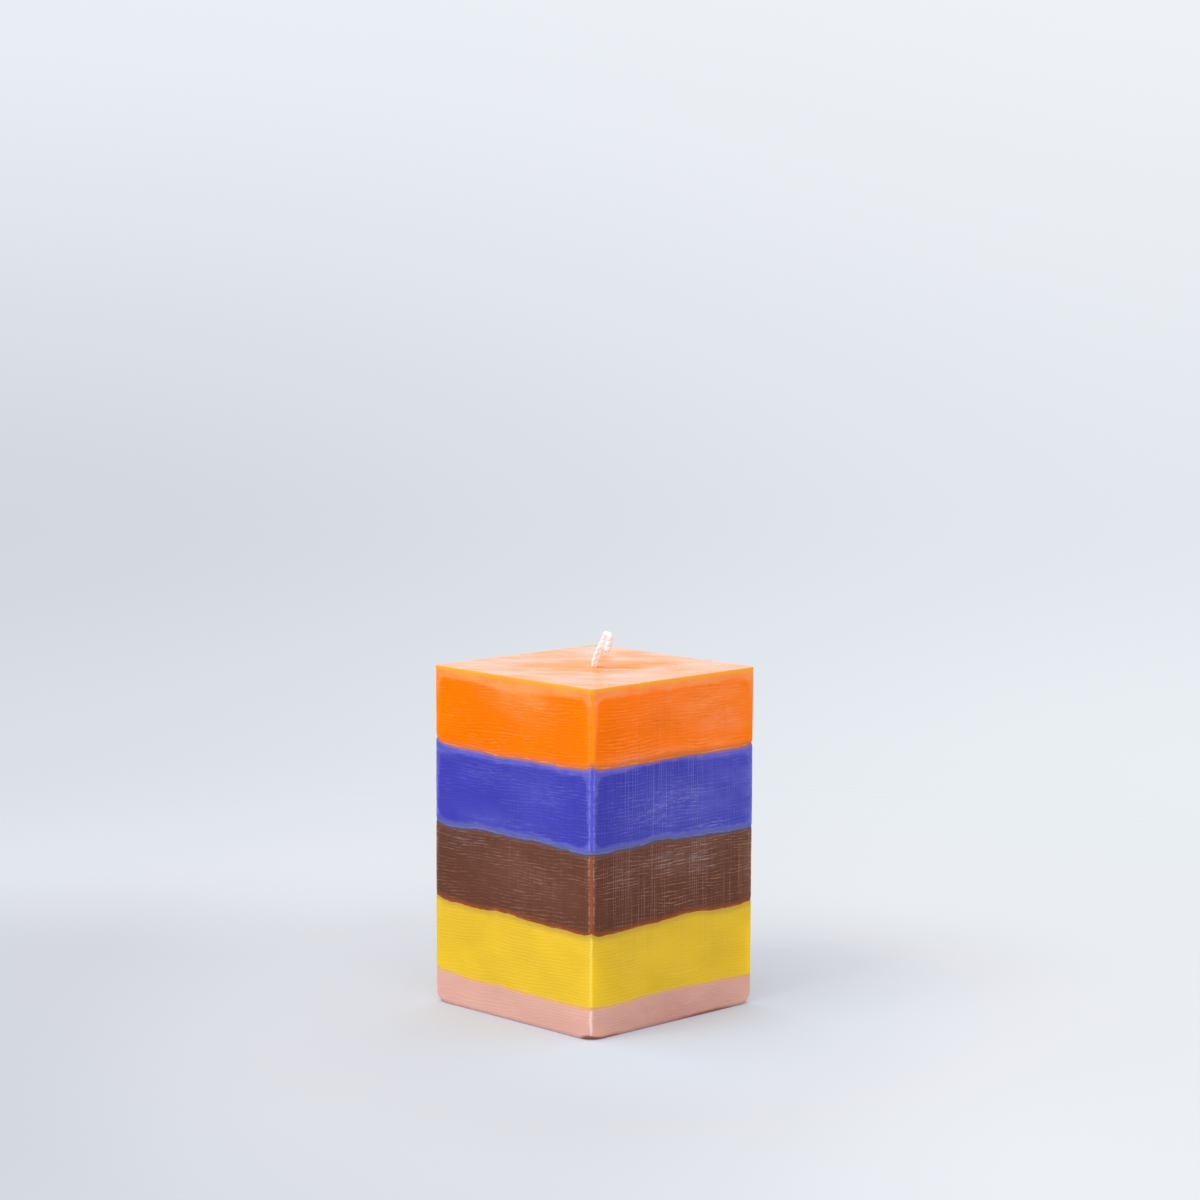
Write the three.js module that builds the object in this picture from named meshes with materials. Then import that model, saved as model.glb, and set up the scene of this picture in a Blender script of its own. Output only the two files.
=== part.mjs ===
// Square pillar candle: five coloured wax pours, a top-up pool, a braided wick and its metal sustainer.
// Millimetres, +Z up. The origin is the centre of the base, and the walls face along X and Y.
import * as THREE from "three";

// The wax block
const blockWidth = 70;
const pinkDepth = 9.4;
const yellowDepth = 22.6;
const brownDepth = 24.3;
const blueDepth = 25.2;
const orangeDepth = 24.5;
const cornerRadius = 1.2;
const footCornerRadius = 3.2;
const footCornerHeight = 2.6;
const footInset = 0.5;
const footRoundHeight = 0.6;
const rimFlare = 0.2;
const rimFlareHeight = 2;
const topDish = 0.4;

// The small second pour that fills the sink round the wick
const poolRadius = 20.5;
const poolDepth = 2.6;
const poolEdgeDepth = 0.5;

// The wick and the sustainer that holds its lower end
const wickDiameter = 2.3;
const wickClearance = 0.3;
const wickEndHeight = 0.5;
const hookRadius = 1.22;
const hookHeight = 9.2;
const hookTwist = 49;
const leanHeading = -44.4;
const sustainerDiameter = 20;
const sustainerSheet = 0.4;
const sustainerRecess = 0.3;
const neckHeight = 6;
const neckGap = 0.3;
const sustainerClearance = 0.3;

// Where each pour meets the next. A swell is [distance round the walls from the front corner, rise, half width],
// and a corner rise is how far the cooling wax climbed the mould at the front, right, back and left corners.
const climbLength = 2.5;
const seams = {
  pinkYellow: {
    depths: [pinkDepth],
    swells: [[33, 0.8, 20], [66, -0.4, 8], [98, -0.4, 12], [130, 0.6, 9], [166, 0.7, 14], [193, -0.3, 8],
      [218, 0.7, 7], [239, 0.6, 7]],
    cornerRises: [0.5, 0.2, 0.6, 2],
  },
  yellowBrown: {
    depths: [pinkDepth, yellowDepth],
    swells: [[4, -0.8, 18], [41, 0.8, 13], [92, 0.7, 16], [124, -0.3, 9], [160, 0.5, 12], [196, 0.4, 10],
      [221, 0.6, 18], [242, 1, 12]],
    cornerRises: [1.2, 1.2, 0.8, 2.2],
  },
  brownBlue: {
    depths: [pinkDepth, yellowDepth, brownDepth],
    swells: [[28, 0.7, 14], [63, -0.7, 15], [101, 0.5, 10], [143, 0.8, 16], [182, -0.4, 11], [233, 1.1, 13],
      [255, 0.9, 12]],
    cornerRises: [0, 0.4, 0.5, 1.3],
  },
  blueOrange: {
    depths: [pinkDepth, yellowDepth, brownDepth, blueDepth],
    swells: [[38, 0.2, 12], [84, -0.3, 14], [118, 0.3, 9], [157, -0.3, 13], [190, 0.2, 10], [240, -0.5, 11],
      [268, -0.3, 6]],
    cornerRises: [1.2, 1, 1.1, 2.3],
  },
};

const upright = new THREE.Vector3(0, 0, 1);
const halfWidth = blockWidth / 2;
const wickRadius = wickDiameter / 2;
const boreRadius = wickRadius + wickClearance;
const blockHeight = pinkDepth + yellowDepth + brownDepth + blueDepth + orangeDepth;

// Stations go once round the block, from the front corner along -Y, +X, +Y and -X. Each knows its sharp corner,
// how far round that corner's arc it is, or how far along the wall after it.
const arcSteps = 4;
const wallSteps = 12;

function makeStations() {
  const stations = [];
  for (let corner = 0; corner < 4; corner += 1) {
    for (let step = 0; step <= arcSteps; step += 1) {
      const turn = step / arcSteps;
      stations.push({ corner, turn, walk: corner * blockWidth + (2 * turn - 1) * cornerRadius });
    }
    for (let step = 1; step < wallSteps; step += 1) {
      const even = step / wallSteps;
      const share = even - (0.75 * Math.sin(2 * Math.PI * even)) / (2 * Math.PI);
      const along = cornerRadius + share * (blockWidth - 2 * cornerRadius);
      stations.push({ corner, share, walk: corner * blockWidth + along });
    }
  }
  return stations;
}

const stations = makeStations();

// The point of a station on a square with rounded corners.
function outlinePoint({ corner, turn, share }, inset, radius) {
  const half = halfWidth - inset;
  const quarter = (corner * Math.PI) / 2;
  const point = new THREE.Vector2();
  if (turn === undefined) {
    point.set(-half + radius + share * 2 * (half - radius), -half);
  } else {
    const angle = Math.PI + (turn * Math.PI) / 2;
    point.set(radius * Math.cos(angle) - half + radius, radius * Math.sin(angle) - half + radius);
  }
  return point.rotateAround(new THREE.Vector2(0, 0), quarter);
}

const bearings = stations.map((station) => outlinePoint(station, 0, cornerRadius).angle());

// A ring of one point for each station, on the block's outline.
function outlineRing(heightAt, inset = 0, radius = cornerRadius) {
  return stations.map((station) => {
    const { x, y } = outlinePoint(station, inset, radius);
    return new THREE.Vector3(x, y, heightAt(station));
  });
}

// A round ring with a point in each station's direction.
function roundRing(radiusAt, heightAt) {
  return stations.map((station, i) => {
    const radius = radiusAt(bearings[i]);
    return new THREE.Vector3(
      radius * Math.cos(bearings[i]), radius * Math.sin(bearings[i]), heightAt(station));
  });
}

// Rings between an inner and an outer one, at the given shares of the way.
function ringsBetween(inner, outer, shares, heightAt) {
  return shares.map((share) => inner.map((point, i) => {
    const between = point.clone().lerp(outer[i], share);
    between.z = heightAt(point, outer[i], share);
    return between;
  }));
}

// The height of a seam where it shows on the walls.
function seamHeight({ depths, swells, cornerRises }, walk) {
  const roundTheBlock = 4 * blockWidth;
  let height = depths.reduce((sum, depth) => sum + depth, 0);
  for (const [at, rise, halfLength] of swells) {
    const away = Math.abs(walk - at) % roundTheBlock;
    const nearest = Math.min(away, roundTheBlock - away) / halfLength;
    height += rise * Math.exp(-nearest * nearest * 2);
  }
  const corner = Math.round(walk / blockWidth) % 4;
  const fromCorner = Math.abs(walk - Math.round(walk / blockWidth) * blockWidth);
  return height + cornerRises[corner] * Math.exp(-fromCorner / climbLength);
}

// A seam's surface from the bore out to the walls. It is level at the wick and takes up the wall's waves outwards.
const seamShares = [0, 0.55, 0.82, 0.95, 1];

function seamRings(seam) {
  const level = seam.depths.reduce((sum, depth) => sum + depth, 0);
  const bore = roundRing(() => boreRadius, () => level);
  const wall = outlineRing(({ walk }) => seamHeight(seam, walk));
  return ringsBetween(bore, wall, seamShares, (inner, outer, share) => level + (outer.z - level) * share ** 3);
}

// The top face sinks a little from the rim to the wick.
function topHeight(distance) {
  return blockHeight - topDish * Math.max(0, 1 - distance / halfWidth) ** 0.8;
}

// The edge of the top-up pool reaches furthest along the wick's lean, and it wanders in and out.
function poolEdge(bearing) {
  const turn = bearing - leanHeading * Math.PI / 180;
  return poolRadius * (1 + 0.09 * Math.cos(turn) + 0.16 * Math.cos(2 * turn) + 0.03 * Math.cos(3 * bearing + 0.4)
    + 0.025 * Math.cos(5 * bearing + 2));
}

// The underside of the pool is a bowl, deepest at the wick.
function bowlHeight(distance, edge) {
  const share = Math.min(1, distance / edge);
  return topHeight(distance) - poolEdgeDepth - (poolDepth - poolEdgeDepth) * (1 - share * share);
}

function flatDistance(point) {
  return Math.hypot(point.x, point.y);
}

// Joins rings into one closed surface, either round a tunnel or with an end cap at each end. A diagonal always
// starts on the ring nearer the middle, so two pours that share a seam have the same faces there.
function skin(rings, tunnel) {
  const around = rings[0].length;
  const points = rings.flat();
  const faces = [];
  const spans = tunnel ? rings.length : rings.length - 1;
  for (let i = 0; i < spans; i += 1) {
    const here = i * around;
    const next = ((i + 1) % rings.length) * around;
    const outwards = flatDistance(points[next]) > flatDistance(points[here]);
    for (let j = 0; j < around; j += 1) {
      const k = (j + 1) % around;
      if (outwards) {
        faces.push(here + j, next + j, next + k, here + j, next + k, here + k);
      } else {
        faces.push(here + j, next + j, here + k, next + j, next + k, here + k);
      }
    }
  }
  if (!tunnel) {
    const last = (rings.length - 1) * around;
    for (let j = 1; j < around - 1; j += 1) {
      faces.push(0, j, j + 1, last, last + j + 1, last + j);
    }
  }
  const geometry = new THREE.BufferGeometry().setFromPoints(points);
  geometry.setIndex(faces);
  return geometry;
}

function waxMaterial(color) {
  return new THREE.MeshStandardMaterial({ color, roughness: 0.42, metalness: 0 });
}

function piece(name, geometry, material) {
  geometry.computeVertexNormals();
  const mesh = new THREE.Mesh(geometry, material);
  mesh.name = name;
  return mesh;
}

// A middle pour lies between two seams. The rings run out over the top, down the walls and back in underneath.
function middlePour(name, lowerSeam, upperSeam, color) {
  const over = seamRings(upperSeam);
  const under = seamRings(lowerSeam).reverse();
  return piece(name, skin([...over, ...under], true), waxMaterial(color));
}

// The foot pour has the rounded foot, and a stepped bore that takes the sustainer's plate and neck.
function footPour() {
  const plateHole = sustainerDiameter / 2 + sustainerClearance;
  const neckHole = boreRadius + neckGap + sustainerSheet;
  const plateTop = sustainerRecess + sustainerSheet + sustainerClearance;
  const neckTop = sustainerRecess + neckHeight + sustainerClearance;
  const walls = [
    outlineRing(() => footCornerHeight),
    outlineRing(() => footRoundHeight, 0, footCornerRadius * 0.7),
    outlineRing(() => footRoundHeight * 0.3, footInset * 0.3, footCornerRadius),
    outlineRing(() => 0, footInset, footCornerRadius),
  ];
  const hole = [
    roundRing(() => plateHole, () => 0),
    roundRing(() => plateHole, () => plateTop),
    roundRing(() => neckHole, () => plateTop),
    roundRing(() => neckHole, () => neckTop),
    roundRing(() => boreRadius, () => neckTop),
  ];
  return piece("foot_pour_pink", skin([...seamRings(seams.pinkYellow), ...walls, ...hole], true),
    waxMaterial(0xe3ac9d));
}

// The top pour has the flared rim, the dished top face and the bowl that the pool fills.
function topPour() {
  const rim = outlineRing(() => blockHeight, -rimFlare);
  const edge = roundRing(poolEdge, () => 0);
  const face = ringsBetween(edge, rim, [0, 0.5], (inner, outer, share) =>
    topHeight(flatDistance(inner) + share * (halfWidth - flatDistance(inner))));
  const bowl = poolRings(true);
  const rings = [
    ...bowl,
    ...face,
    rim,
    outlineRing(() => blockHeight - rimFlareHeight),
    ...seamRings(seams.blueOrange).reverse(),
  ];
  return piece("top_pour_orange", skin(rings, true), waxMaterial(0xff8210));
}

// The rings of the pool's underside or its top, from the bore to the pool's edge.
function poolRings(under) {
  const bore = roundRing(() => boreRadius, () => 0);
  const edge = roundRing(poolEdge, () => 0);
  return ringsBetween(bore, edge, [0, 0.35, 0.7, 1], (inner, outer, share) => {
    const reach = flatDistance(outer);
    const distance = boreRadius + share * (reach - boreRadius);
    return under ? bowlHeight(distance, reach) : topHeight(distance);
  });
}

function topUpPool() {
  return piece("top_up_pool", skin([...poolRings(false), ...poolRings(true).reverse()], true),
    waxMaterial(0xff7d14));
}

// The wick's route above the wax, as [along the lean, up]. Its free end is folded over into a tight hook, turned
// out of the plane of the lean, and hangs beside the stem as [along the lean, up], both from the hook's start.
const stemRoute = [[0, -3], [0, 0], [0.1, 1.1], [0.45, 2.5], [1.1, 4.2], [1.95, 6.1], [2.8, 7.7]];
const hookOut = 3.45;
const tailRoute = [[-0.15, -1.4], [-0.6, -2.9], [-1.15, -4.3]];
const hookSteps = 6;

function wickRoute() {
  const lean = new THREE.Vector3(1, 0, 0).applyAxisAngle(upright, THREE.MathUtils.degToRad(leanHeading));
  const across = lean.clone().applyAxisAngle(upright, THREE.MathUtils.degToRad(-hookTwist));
  const place = (out, acrossHook, height) => new THREE.Vector3(0, 0, topHeight(0) + height)
    .addScaledVector(lean, out).addScaledVector(across, acrossHook);
  const stem = stemRoute.map(([out, height]) => place(out, 0, height));
  const hook = Array.from({ length: hookSteps + 1 }, (_, step) => {
    const angle = (Math.PI * step) / hookSteps;
    return place(hookOut, hookRadius * (1 - Math.cos(angle)), hookHeight + hookRadius * Math.sin(angle));
  });
  const tail = tailRoute.map(([out, height]) => place(hookOut + out, 2 * hookRadius, hookHeight + height));
  return new THREE.CatmullRomCurve3([...stem, ...hook, ...tail]);
}

const wickSides = 12;
const wickSteps = 44;

function wick() {
  const route = wickRoute();
  const { normals, binormals } = route.computeFrenetFrames(wickSteps);
  const ringAt = (centre, step) => Array.from({ length: wickSides }, (_, side) => {
    const angle = (-2 * Math.PI * side) / wickSides;
    return centre.clone()
      .addScaledVector(normals[step], wickRadius * Math.cos(angle))
      .addScaledVector(binormals[step], wickRadius * Math.sin(angle));
  });
  const rings = [ringAt(new THREE.Vector3(0, 0, wickEndHeight), 0)];
  for (let step = 0; step <= wickSteps; step += 1) {
    rings.push(ringAt(route.getPointAt(step / wickSteps), step));
  }
  return piece("wick", skin(rings, false),
    new THREE.MeshStandardMaterial({ color: 0xf3ece4, roughness: 0.9, metalness: 0 }));
}

// The sustainer is one pressed sheet: a round plate with an upright neck that grips the wick.
function wickSustainer() {
  const inside = boreRadius;
  const outside = inside + sustainerSheet;
  const bottom = sustainerRecess;
  const profile = [
    [inside, bottom],
    [sustainerDiameter / 2, bottom],
    [sustainerDiameter / 2, bottom + sustainerSheet],
    [outside, bottom + sustainerSheet],
    [outside, bottom + neckHeight],
    [inside, bottom + neckHeight],
    [inside, bottom],
  ].map(([radius, height]) => new THREE.Vector2(radius, height));
  const lathe = new THREE.LatheGeometry(profile, 32);
  lathe.rotateX(Math.PI / 2);
  return piece("wick_sustainer", lathe,
    new THREE.MeshStandardMaterial({ color: 0xb9bcc0, roughness: 0.35, metalness: 1 }));
}

const candle = new THREE.Group();
candle.add(
  footPour(),
  middlePour("pour_yellow", seams.pinkYellow, seams.yellowBrown, 0xf0c52c),
  middlePour("pour_brown", seams.yellowBrown, seams.brownBlue, 0x6b3b2a),
  middlePour("pour_blue", seams.brownBlue, seams.blueOrange, 0x4b45c4),
  topPour(),
  topUpPool(),
  wick(),
  wickSustainer(),
);

export default candle;
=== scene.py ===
"""Square pillar candle, dressed for a studio photograph.

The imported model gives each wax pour, the top-up pool, the wick and its sustainer. This script replaces them
with fine surfaces in the same places: walls with the ripples and skins that poured wax has, a dished top
face, a plaited cotton wick with loose fibres, and a pressed tin sustainer. Sizes are millimetres until a mesh
is made.
"""

from __future__ import annotations

import logging
import math
from collections.abc import Callable
from dataclasses import dataclass, field, fields
from enum import Enum

import bpy
import numpy as np
from mathutils import Matrix, Vector

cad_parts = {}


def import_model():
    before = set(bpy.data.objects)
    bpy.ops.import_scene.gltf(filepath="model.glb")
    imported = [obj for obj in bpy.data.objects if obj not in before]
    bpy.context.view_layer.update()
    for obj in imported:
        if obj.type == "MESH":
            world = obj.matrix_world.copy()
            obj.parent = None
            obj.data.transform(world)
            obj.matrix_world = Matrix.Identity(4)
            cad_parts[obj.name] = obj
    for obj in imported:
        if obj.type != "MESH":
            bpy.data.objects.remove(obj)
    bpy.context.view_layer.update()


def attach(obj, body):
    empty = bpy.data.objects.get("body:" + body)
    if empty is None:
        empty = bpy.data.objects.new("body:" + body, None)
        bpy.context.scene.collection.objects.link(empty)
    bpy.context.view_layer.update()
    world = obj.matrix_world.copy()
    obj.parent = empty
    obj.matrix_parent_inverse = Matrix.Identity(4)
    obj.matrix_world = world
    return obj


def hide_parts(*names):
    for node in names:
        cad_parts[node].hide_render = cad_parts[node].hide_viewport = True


LOG = logging.getLogger("candle")
MILLIMETRE = 0.001

Array = np.ndarray
Tint = tuple[int, int, int]
Direction = tuple[float, float, float]
Socket = bpy.types.NodeSocket
Sockets = bpy.types.NodeOutputs


def linear(tint: Tint) -> tuple[float, float, float, float]:
    """Turn a display colour into scene-linear light.

    Args:
        tint: Red, green and blue as a screen shows them, 0 to 255.

    Returns:
        Linear red, green, blue and an alpha of 1.
    """
    shares = [value / 255 for value in tint]
    red, green, blue = (v / 12.92 if v <= 0.04045 else ((v + 0.055) / 1.055) ** 2.4 for v in shares)
    return (red, green, blue, 1.0)


def eased(t: Array) -> Array:
    """Slow a share from 0 to 1 down at both ends, as 3t squared less 2t cubed."""
    return t * t * (3 - 2 * t)


def smoothstep(values: Array, low: float, high: float) -> Array:
    """Rise smoothly from 0 at low to 1 at high."""
    return eased(np.clip((values - low) / (high - low), 0, 1))


def crowded(share: Array, amount: float) -> Array:
    """Move shares from 0 to 1 closer together at both ends, by a full sine wave."""
    return share - amount * np.sin(2 * np.pi * share) / (2 * np.pi)


def bell(away: Array, reach: float) -> Array:
    """A bell curve: e to the power of minus the square of the distance in reaches."""
    return np.exp(-(away / reach) ** 2)


def outward(bearing: Array) -> Array:
    """Level directions away from the wick's foot, with x and y on the last axis."""
    return np.stack([np.cos(bearing), np.sin(bearing)], axis=-1)


def bearings(points: Array) -> Array:
    """The bearing of each point from the wick's foot."""
    return np.arctan2(points[..., 1], points[..., 0])


def raised(flat: Array, height: Array | float) -> Array:
    """Put flat positions at their heights."""
    return np.concatenate([flat, np.broadcast_to(height, flat.shape[:-1])[..., None]], axis=-1)


# Shapes


@dataclass(frozen=True)
class Grain:
    """Smooth seeded noise on a plane: random values on a lattice, blended between with a smoothstep."""

    seed: int
    columns: int
    rows: int = 64

    def at(self, u: Array, v: Array) -> Array:
        """Read the noise.

        Args:
            u: Lattice columns, which repeat after the grain's own number of columns.
            v: Lattice rows, which repeat too.

        Returns:
            Values from -1 to 1.
        """
        lattice = np.random.default_rng(self.seed).uniform(-1, 1, (self.columns, self.rows))
        u, v = np.broadcast_arrays(u, v)
        i, j = np.floor(u).astype(int), np.floor(v).astype(int)
        a, b = eased(u - i), eased(v - j)
        i0, i1 = i % self.columns, (i + 1) % self.columns
        j0, j1 = j % self.rows, (j + 1) % self.rows
        low = lattice[i0, j0] * (1 - a) + lattice[i1, j0] * a
        high = lattice[i0, j1] * (1 - a) + lattice[i1, j1] * a
        return low * (1 - b) + high * b


@dataclass(frozen=True)
class Block:
    """The wax block's outline. A walk is the distance round its walls, from the front corner along -Y."""

    width: float = 70.0
    height: float = 106.0
    corner_radius: float = 1.2
    foot_corner_radius: float = 5.8
    foot_corner_height: float = 3.4
    foot_corner_power: float = 1.9
    foot_inset: float = 0.3
    foot_round_height: float = 0.4
    rim_flare: float = 0.2
    rim_flare_height: float = 2.0
    rim_round: float = 0.4
    top_dish: float = 0.4
    bore_radius: float = 1.45

    @property
    def round_trip(self) -> float:
        """The distance once round the sharp block."""
        return 4 * self.width

    def walks(self, wall_step: float = 0.5, corner_step: float = 0.16) -> Array:
        """Space the columns of a wall mesh, closer together round the upright corners.

        Args:
            wall_step: Distance between columns on the flat walls.
            corner_step: Distance between columns near a corner.

        Returns:
            Walks from the front corner, once round.
        """
        near = 1.6
        flat = self.width - 2 * near
        corner = np.arange(-near, near, corner_step)
        wall = np.linspace(near, self.width - near, round(flat / wall_step), endpoint=False)
        side = np.concatenate([corner, wall])
        return np.concatenate([side + k * self.width for k in range(4)])

    def corner_distance(self, walk: Array) -> Array:
        """Distance along the wall from the nearest upright corner, negative before it."""
        return walk - np.round(walk / self.width) * self.width

    def near_corner(self, walk: Array, length: float) -> Array:
        """A share that is 1 at an upright corner and falls to 1/e over a length of wall."""
        return np.exp(-np.abs(self.corner_distance(walk)) / length)

    def gap(self, walk: Array, other: float) -> Array:
        """The shorter way round the block between two walks."""
        away = np.abs(walk - other) % self.round_trip
        return np.minimum(away, self.round_trip - away)

    def outline(self, walk: Array, radius: Array, inset: Array) -> tuple[Array, Array]:
        """Find points on a square with rounded corners.

        Within a radius of a corner the walk turns into an angle round that corner's arc. Further on it is a
        distance along the wall, stretched so that the walls of an inset outline still meet.

        Args:
            walk: Distance round the block.
            radius: The corners' radius.
            inset: How far the walls stand in from the block's full width.

        Returns:
            Points and outward normals, with x and y on the last axis.
        """
        walk, radius, inset = np.broadcast_arrays(walk, radius, inset)
        along = self.corner_distance(walk)
        half = self.width / 2 - inset
        angle = math.pi * (1.25 + 0.25 * np.clip(along / radius, -1, 1))
        stretch = (half - radius) / (self.width / 2 - radius)
        run = (np.abs(along) - radius).clip(0) * stretch
        x = -half + radius * (1 + np.cos(angle)) + np.where(along > 0, run, 0)
        y = -half + radius * (1 + np.sin(angle)) + np.where(along < 0, run, 0)
        quarter = np.round(walk / self.width) * math.pi / 2
        turn_x, turn_y = np.cos(quarter), np.sin(quarter)
        points = np.stack([x * turn_x - y * turn_y, x * turn_y + y * turn_x], axis=-1)
        normals = np.stack([np.cos(angle + quarter), np.sin(angle + quarter)], axis=-1)
        return points, normals

    def foot_shape(self, height: Array) -> tuple[Array, Array]:
        """Corner radius and inset at a height.

        The radius grows towards the floor as a power of the way down, and the inset as a quarter round.

        Args:
            height: Height above the base.

        Returns:
            The corners' radius, and how far the walls stand in.
        """
        to_corner = 1 - np.clip(height / self.foot_corner_height, 0, 1)
        to_floor = 1 - np.clip(height / self.foot_round_height, 0, 1)
        growth = (self.foot_corner_radius - self.corner_radius) * to_corner ** self.foot_corner_power
        radius = self.corner_radius + growth
        inset = self.foot_inset * (1 - np.sqrt(1 - to_floor ** 2))
        return radius, inset

    def flare(self, height: Array) -> Array:
        """How far the rim flares out at a height, growing as the square of the way up the flare."""
        share = np.clip((height - self.height + self.rim_flare_height) / self.rim_flare_height, 0, 1)
        return self.rim_flare * share ** 2

    def top(self, distance: Array) -> Array:
        """Height of the top face at a distance from the wick. It sinks a little towards the middle."""
        return self.height - self.top_dish * np.clip(1 - distance / (self.width / 2), 0, 1) ** 0.8


BLOCK = Block()


@dataclass(frozen=True)
class Swell:
    """A rise or dip in a seam, as a bell curve at a walk."""

    walk: float
    rise: float
    reach: float

    def lift(self, away: Array) -> Array:
        """The rise at a distance from the swell's middle."""
        return self.rise * np.exp(-2 * (away / self.reach) ** 2)


@dataclass(frozen=True)
class Seam:
    """Where one pour meets the next. The later pour's edge climbs the mould a little at each upright corner.

    The nick is the depth that the seam leaves in the wall close to a corner.
    """

    level: float
    swells: tuple[Swell, ...]
    corner_rises: tuple[float, float, float, float]
    seed: int
    ragged: float = 0.12
    climb_length: float = 2.5
    nick: float = 0.12

    def height(self, walk: Array) -> Array:
        """Height of the seam on the walls: its level, its swells, its corner rises and a fine wander."""
        height = np.full(np.shape(walk), self.level)
        for swell in self.swells:
            height = height + swell.lift(BLOCK.gap(walk, swell.walk))
        corner = np.round(walk / BLOCK.width).astype(int) % 4
        climb = BLOCK.near_corner(walk, self.climb_length)
        wander = Grain(self.seed, 80).at(walk / 3.5, 0.0)
        wander = wander + 0.5 * Grain(self.seed + 1, 200).at(walk / 1.4, 0.0)
        return height + np.array(self.corner_rises)[corner] * climb + self.ragged * wander


def swells(*numbers: tuple[float, float, float]) -> tuple[Swell, ...]:
    """Make swells from (walk, rise, reach) numbers."""
    return tuple(Swell(*n) for n in numbers)


PINK_YELLOW = Seam(
    level=9.4,
    swells=swells((33, 0.8, 20), (66, -0.4, 8), (98, -0.4, 12), (130, 0.6, 9), (166, 0.7, 14), (193, -0.3, 8),
                  (218, 0.7, 7), (239, 0.6, 7)),
    corner_rises=(0.5, 0.2, 0.6, 2.0), seed=11, ragged=0.1, nick=0.05)
YELLOW_BROWN = Seam(
    level=32.0,
    swells=swells((4, -0.8, 18), (41, 0.8, 13), (92, 0.7, 16), (124, -0.3, 9), (160, 0.5, 12), (196, 0.4, 10),
                  (221, 0.6, 18), (242, 1.0, 12)),
    corner_rises=(1.2, 1.2, 0.8, 2.2), seed=21, ragged=0.16)
BROWN_BLUE = Seam(
    level=56.3,
    swells=swells((28, 0.7, 14), (63, -0.7, 15), (101, 0.5, 10), (143, 0.8, 16), (182, -0.4, 11),
                  (233, 1.1, 13), (255, 0.9, 12)),
    corner_rises=(0.0, 0.4, 0.5, 1.3), seed=31, ragged=0.27)
BLUE_ORANGE = Seam(
    level=81.5,
    swells=swells((38, 0.2, 12), (84, -0.3, 14), (118, 0.3, 9), (157, -0.3, 13), (190, 0.2, 10),
                  (240, -0.5, 11), (268, -0.3, 6)),
    corner_rises=(1.2, 1.0, 1.1, 2.3), seed=41, ragged=0.08, nick=0.3)
SEAMS = (PINK_YELLOW, YELLOW_BROWN, BROWN_BLUE, BLUE_ORANGE)


@dataclass(frozen=True)
class Patch:
    """A soft oval patch on the walls, such as a milky cloud, a rubbed place or, at the pink foot, painted
    shade.
    """

    walk: float
    height: float
    reach_along: float
    reach_up: float
    strength: float = 1.0


def patches(found: tuple[Patch, ...], walk: Array, height: Array) -> Array:
    """Add up soft ovals, each a bell curve in both directions.

    Args:
        found: The patches.
        walk: Distance round the block.
        height: Height above the base.

    Returns:
        The patches' strength, 0 to 1.
    """
    total = np.zeros(np.broadcast(walk, height).shape)
    for patch in found:
        along = bell(BLOCK.gap(walk, patch.walk), patch.reach_along)
        total = total + patch.strength * along * bell(height - patch.height, patch.reach_up)
    return np.clip(total, 0, 1)


@dataclass
class Mesh:
    """Points in millimetres and faces, with a value for each point under each mark's name."""

    points: Array
    faces: list[list[int]]
    marks: dict[str, Array] = field(default_factory=dict)
    uv: Array | None = None

    @classmethod
    def from_rings(cls, rings: Array, marks: dict[str, Array] | None = None, closed: bool = True) -> Mesh:
        """Join neighbouring rings of points with quads.

        Args:
            rings: Points, with the ring on the first axis and the way round it on the second.
            marks: A value for each point under each mark's name.
            closed: Whether the last ring joins the first.

        Returns:
            The mesh.
        """
        count, around = rings.shape[:2]
        here, j = np.meshgrid(np.arange(count if closed else count - 1), np.arange(around), indexing="ij")
        following, k = (here + 1) % count, (j + 1) % around
        here, following = here * around, following * around
        quads = np.stack([here + j, following + j, following + k, here + k], axis=-1)
        flat_marks = {name: values.ravel() for name, values in (marks or {}).items()}
        return cls(rings.reshape(-1, 3), quads.reshape(-1, 4).tolist(), flat_marks)

    @classmethod
    def joined(cls, meshes: list[Mesh]) -> Mesh:
        """Put several meshes with the same marks into one."""
        faces = []
        start = 0
        for mesh in meshes:
            faces.extend([start + point for point in face] for face in mesh.faces)
            start += len(mesh.points)
        marks = {name: np.concatenate([mesh.marks[name] for mesh in meshes]) for name in meshes[0].marks}
        points = np.concatenate([mesh.points for mesh in meshes])
        return cls(points, faces, marks, np.concatenate([mesh.uv for mesh in meshes]))

    def piece(self, name: str, material: bpy.types.Material) -> bpy.types.Object:
        """Put the mesh into the scene.

        Args:
            name: The piece's name.
            material: What it is made of.

        Returns:
            The new object at the origin, shaded smooth.
        """
        mesh = bpy.data.meshes.new(name)
        mesh.from_pydata((self.points * MILLIMETRE).tolist(), [], self.faces)
        for mark, values in self.marks.items():
            attribute = mesh.attributes.new(mark, "FLOAT", "POINT")
            attribute.data.foreach_set("value", values.astype(np.float32))
        if self.uv is not None:
            corners = np.zeros(len(mesh.loops), dtype=np.int32)
            mesh.loops.foreach_get("vertex_index", corners)
            layer = mesh.uv_layers.new(name="UVMap")
            layer.data.foreach_set("uv", self.uv[corners].astype(np.float32).ravel())
        mesh.polygons.foreach_set("use_smooth", np.ones(len(mesh.polygons), dtype=bool))
        mesh.materials.append(material)
        mesh.update()
        piece = bpy.data.objects.new(name, mesh)
        bpy.context.scene.collection.objects.link(piece)
        return piece


def hold(piece: bpy.types.Object, node: str) -> bpy.types.Object:
    """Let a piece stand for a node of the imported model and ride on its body."""
    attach(piece, "root")
    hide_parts(node)
    faces = sum(len(polygon.vertices) - 2 for polygon in piece.data.polygons)
    LOG.info("%s stands for %s with %d triangles", piece.name, node, faces)
    return piece


# Materials


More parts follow.
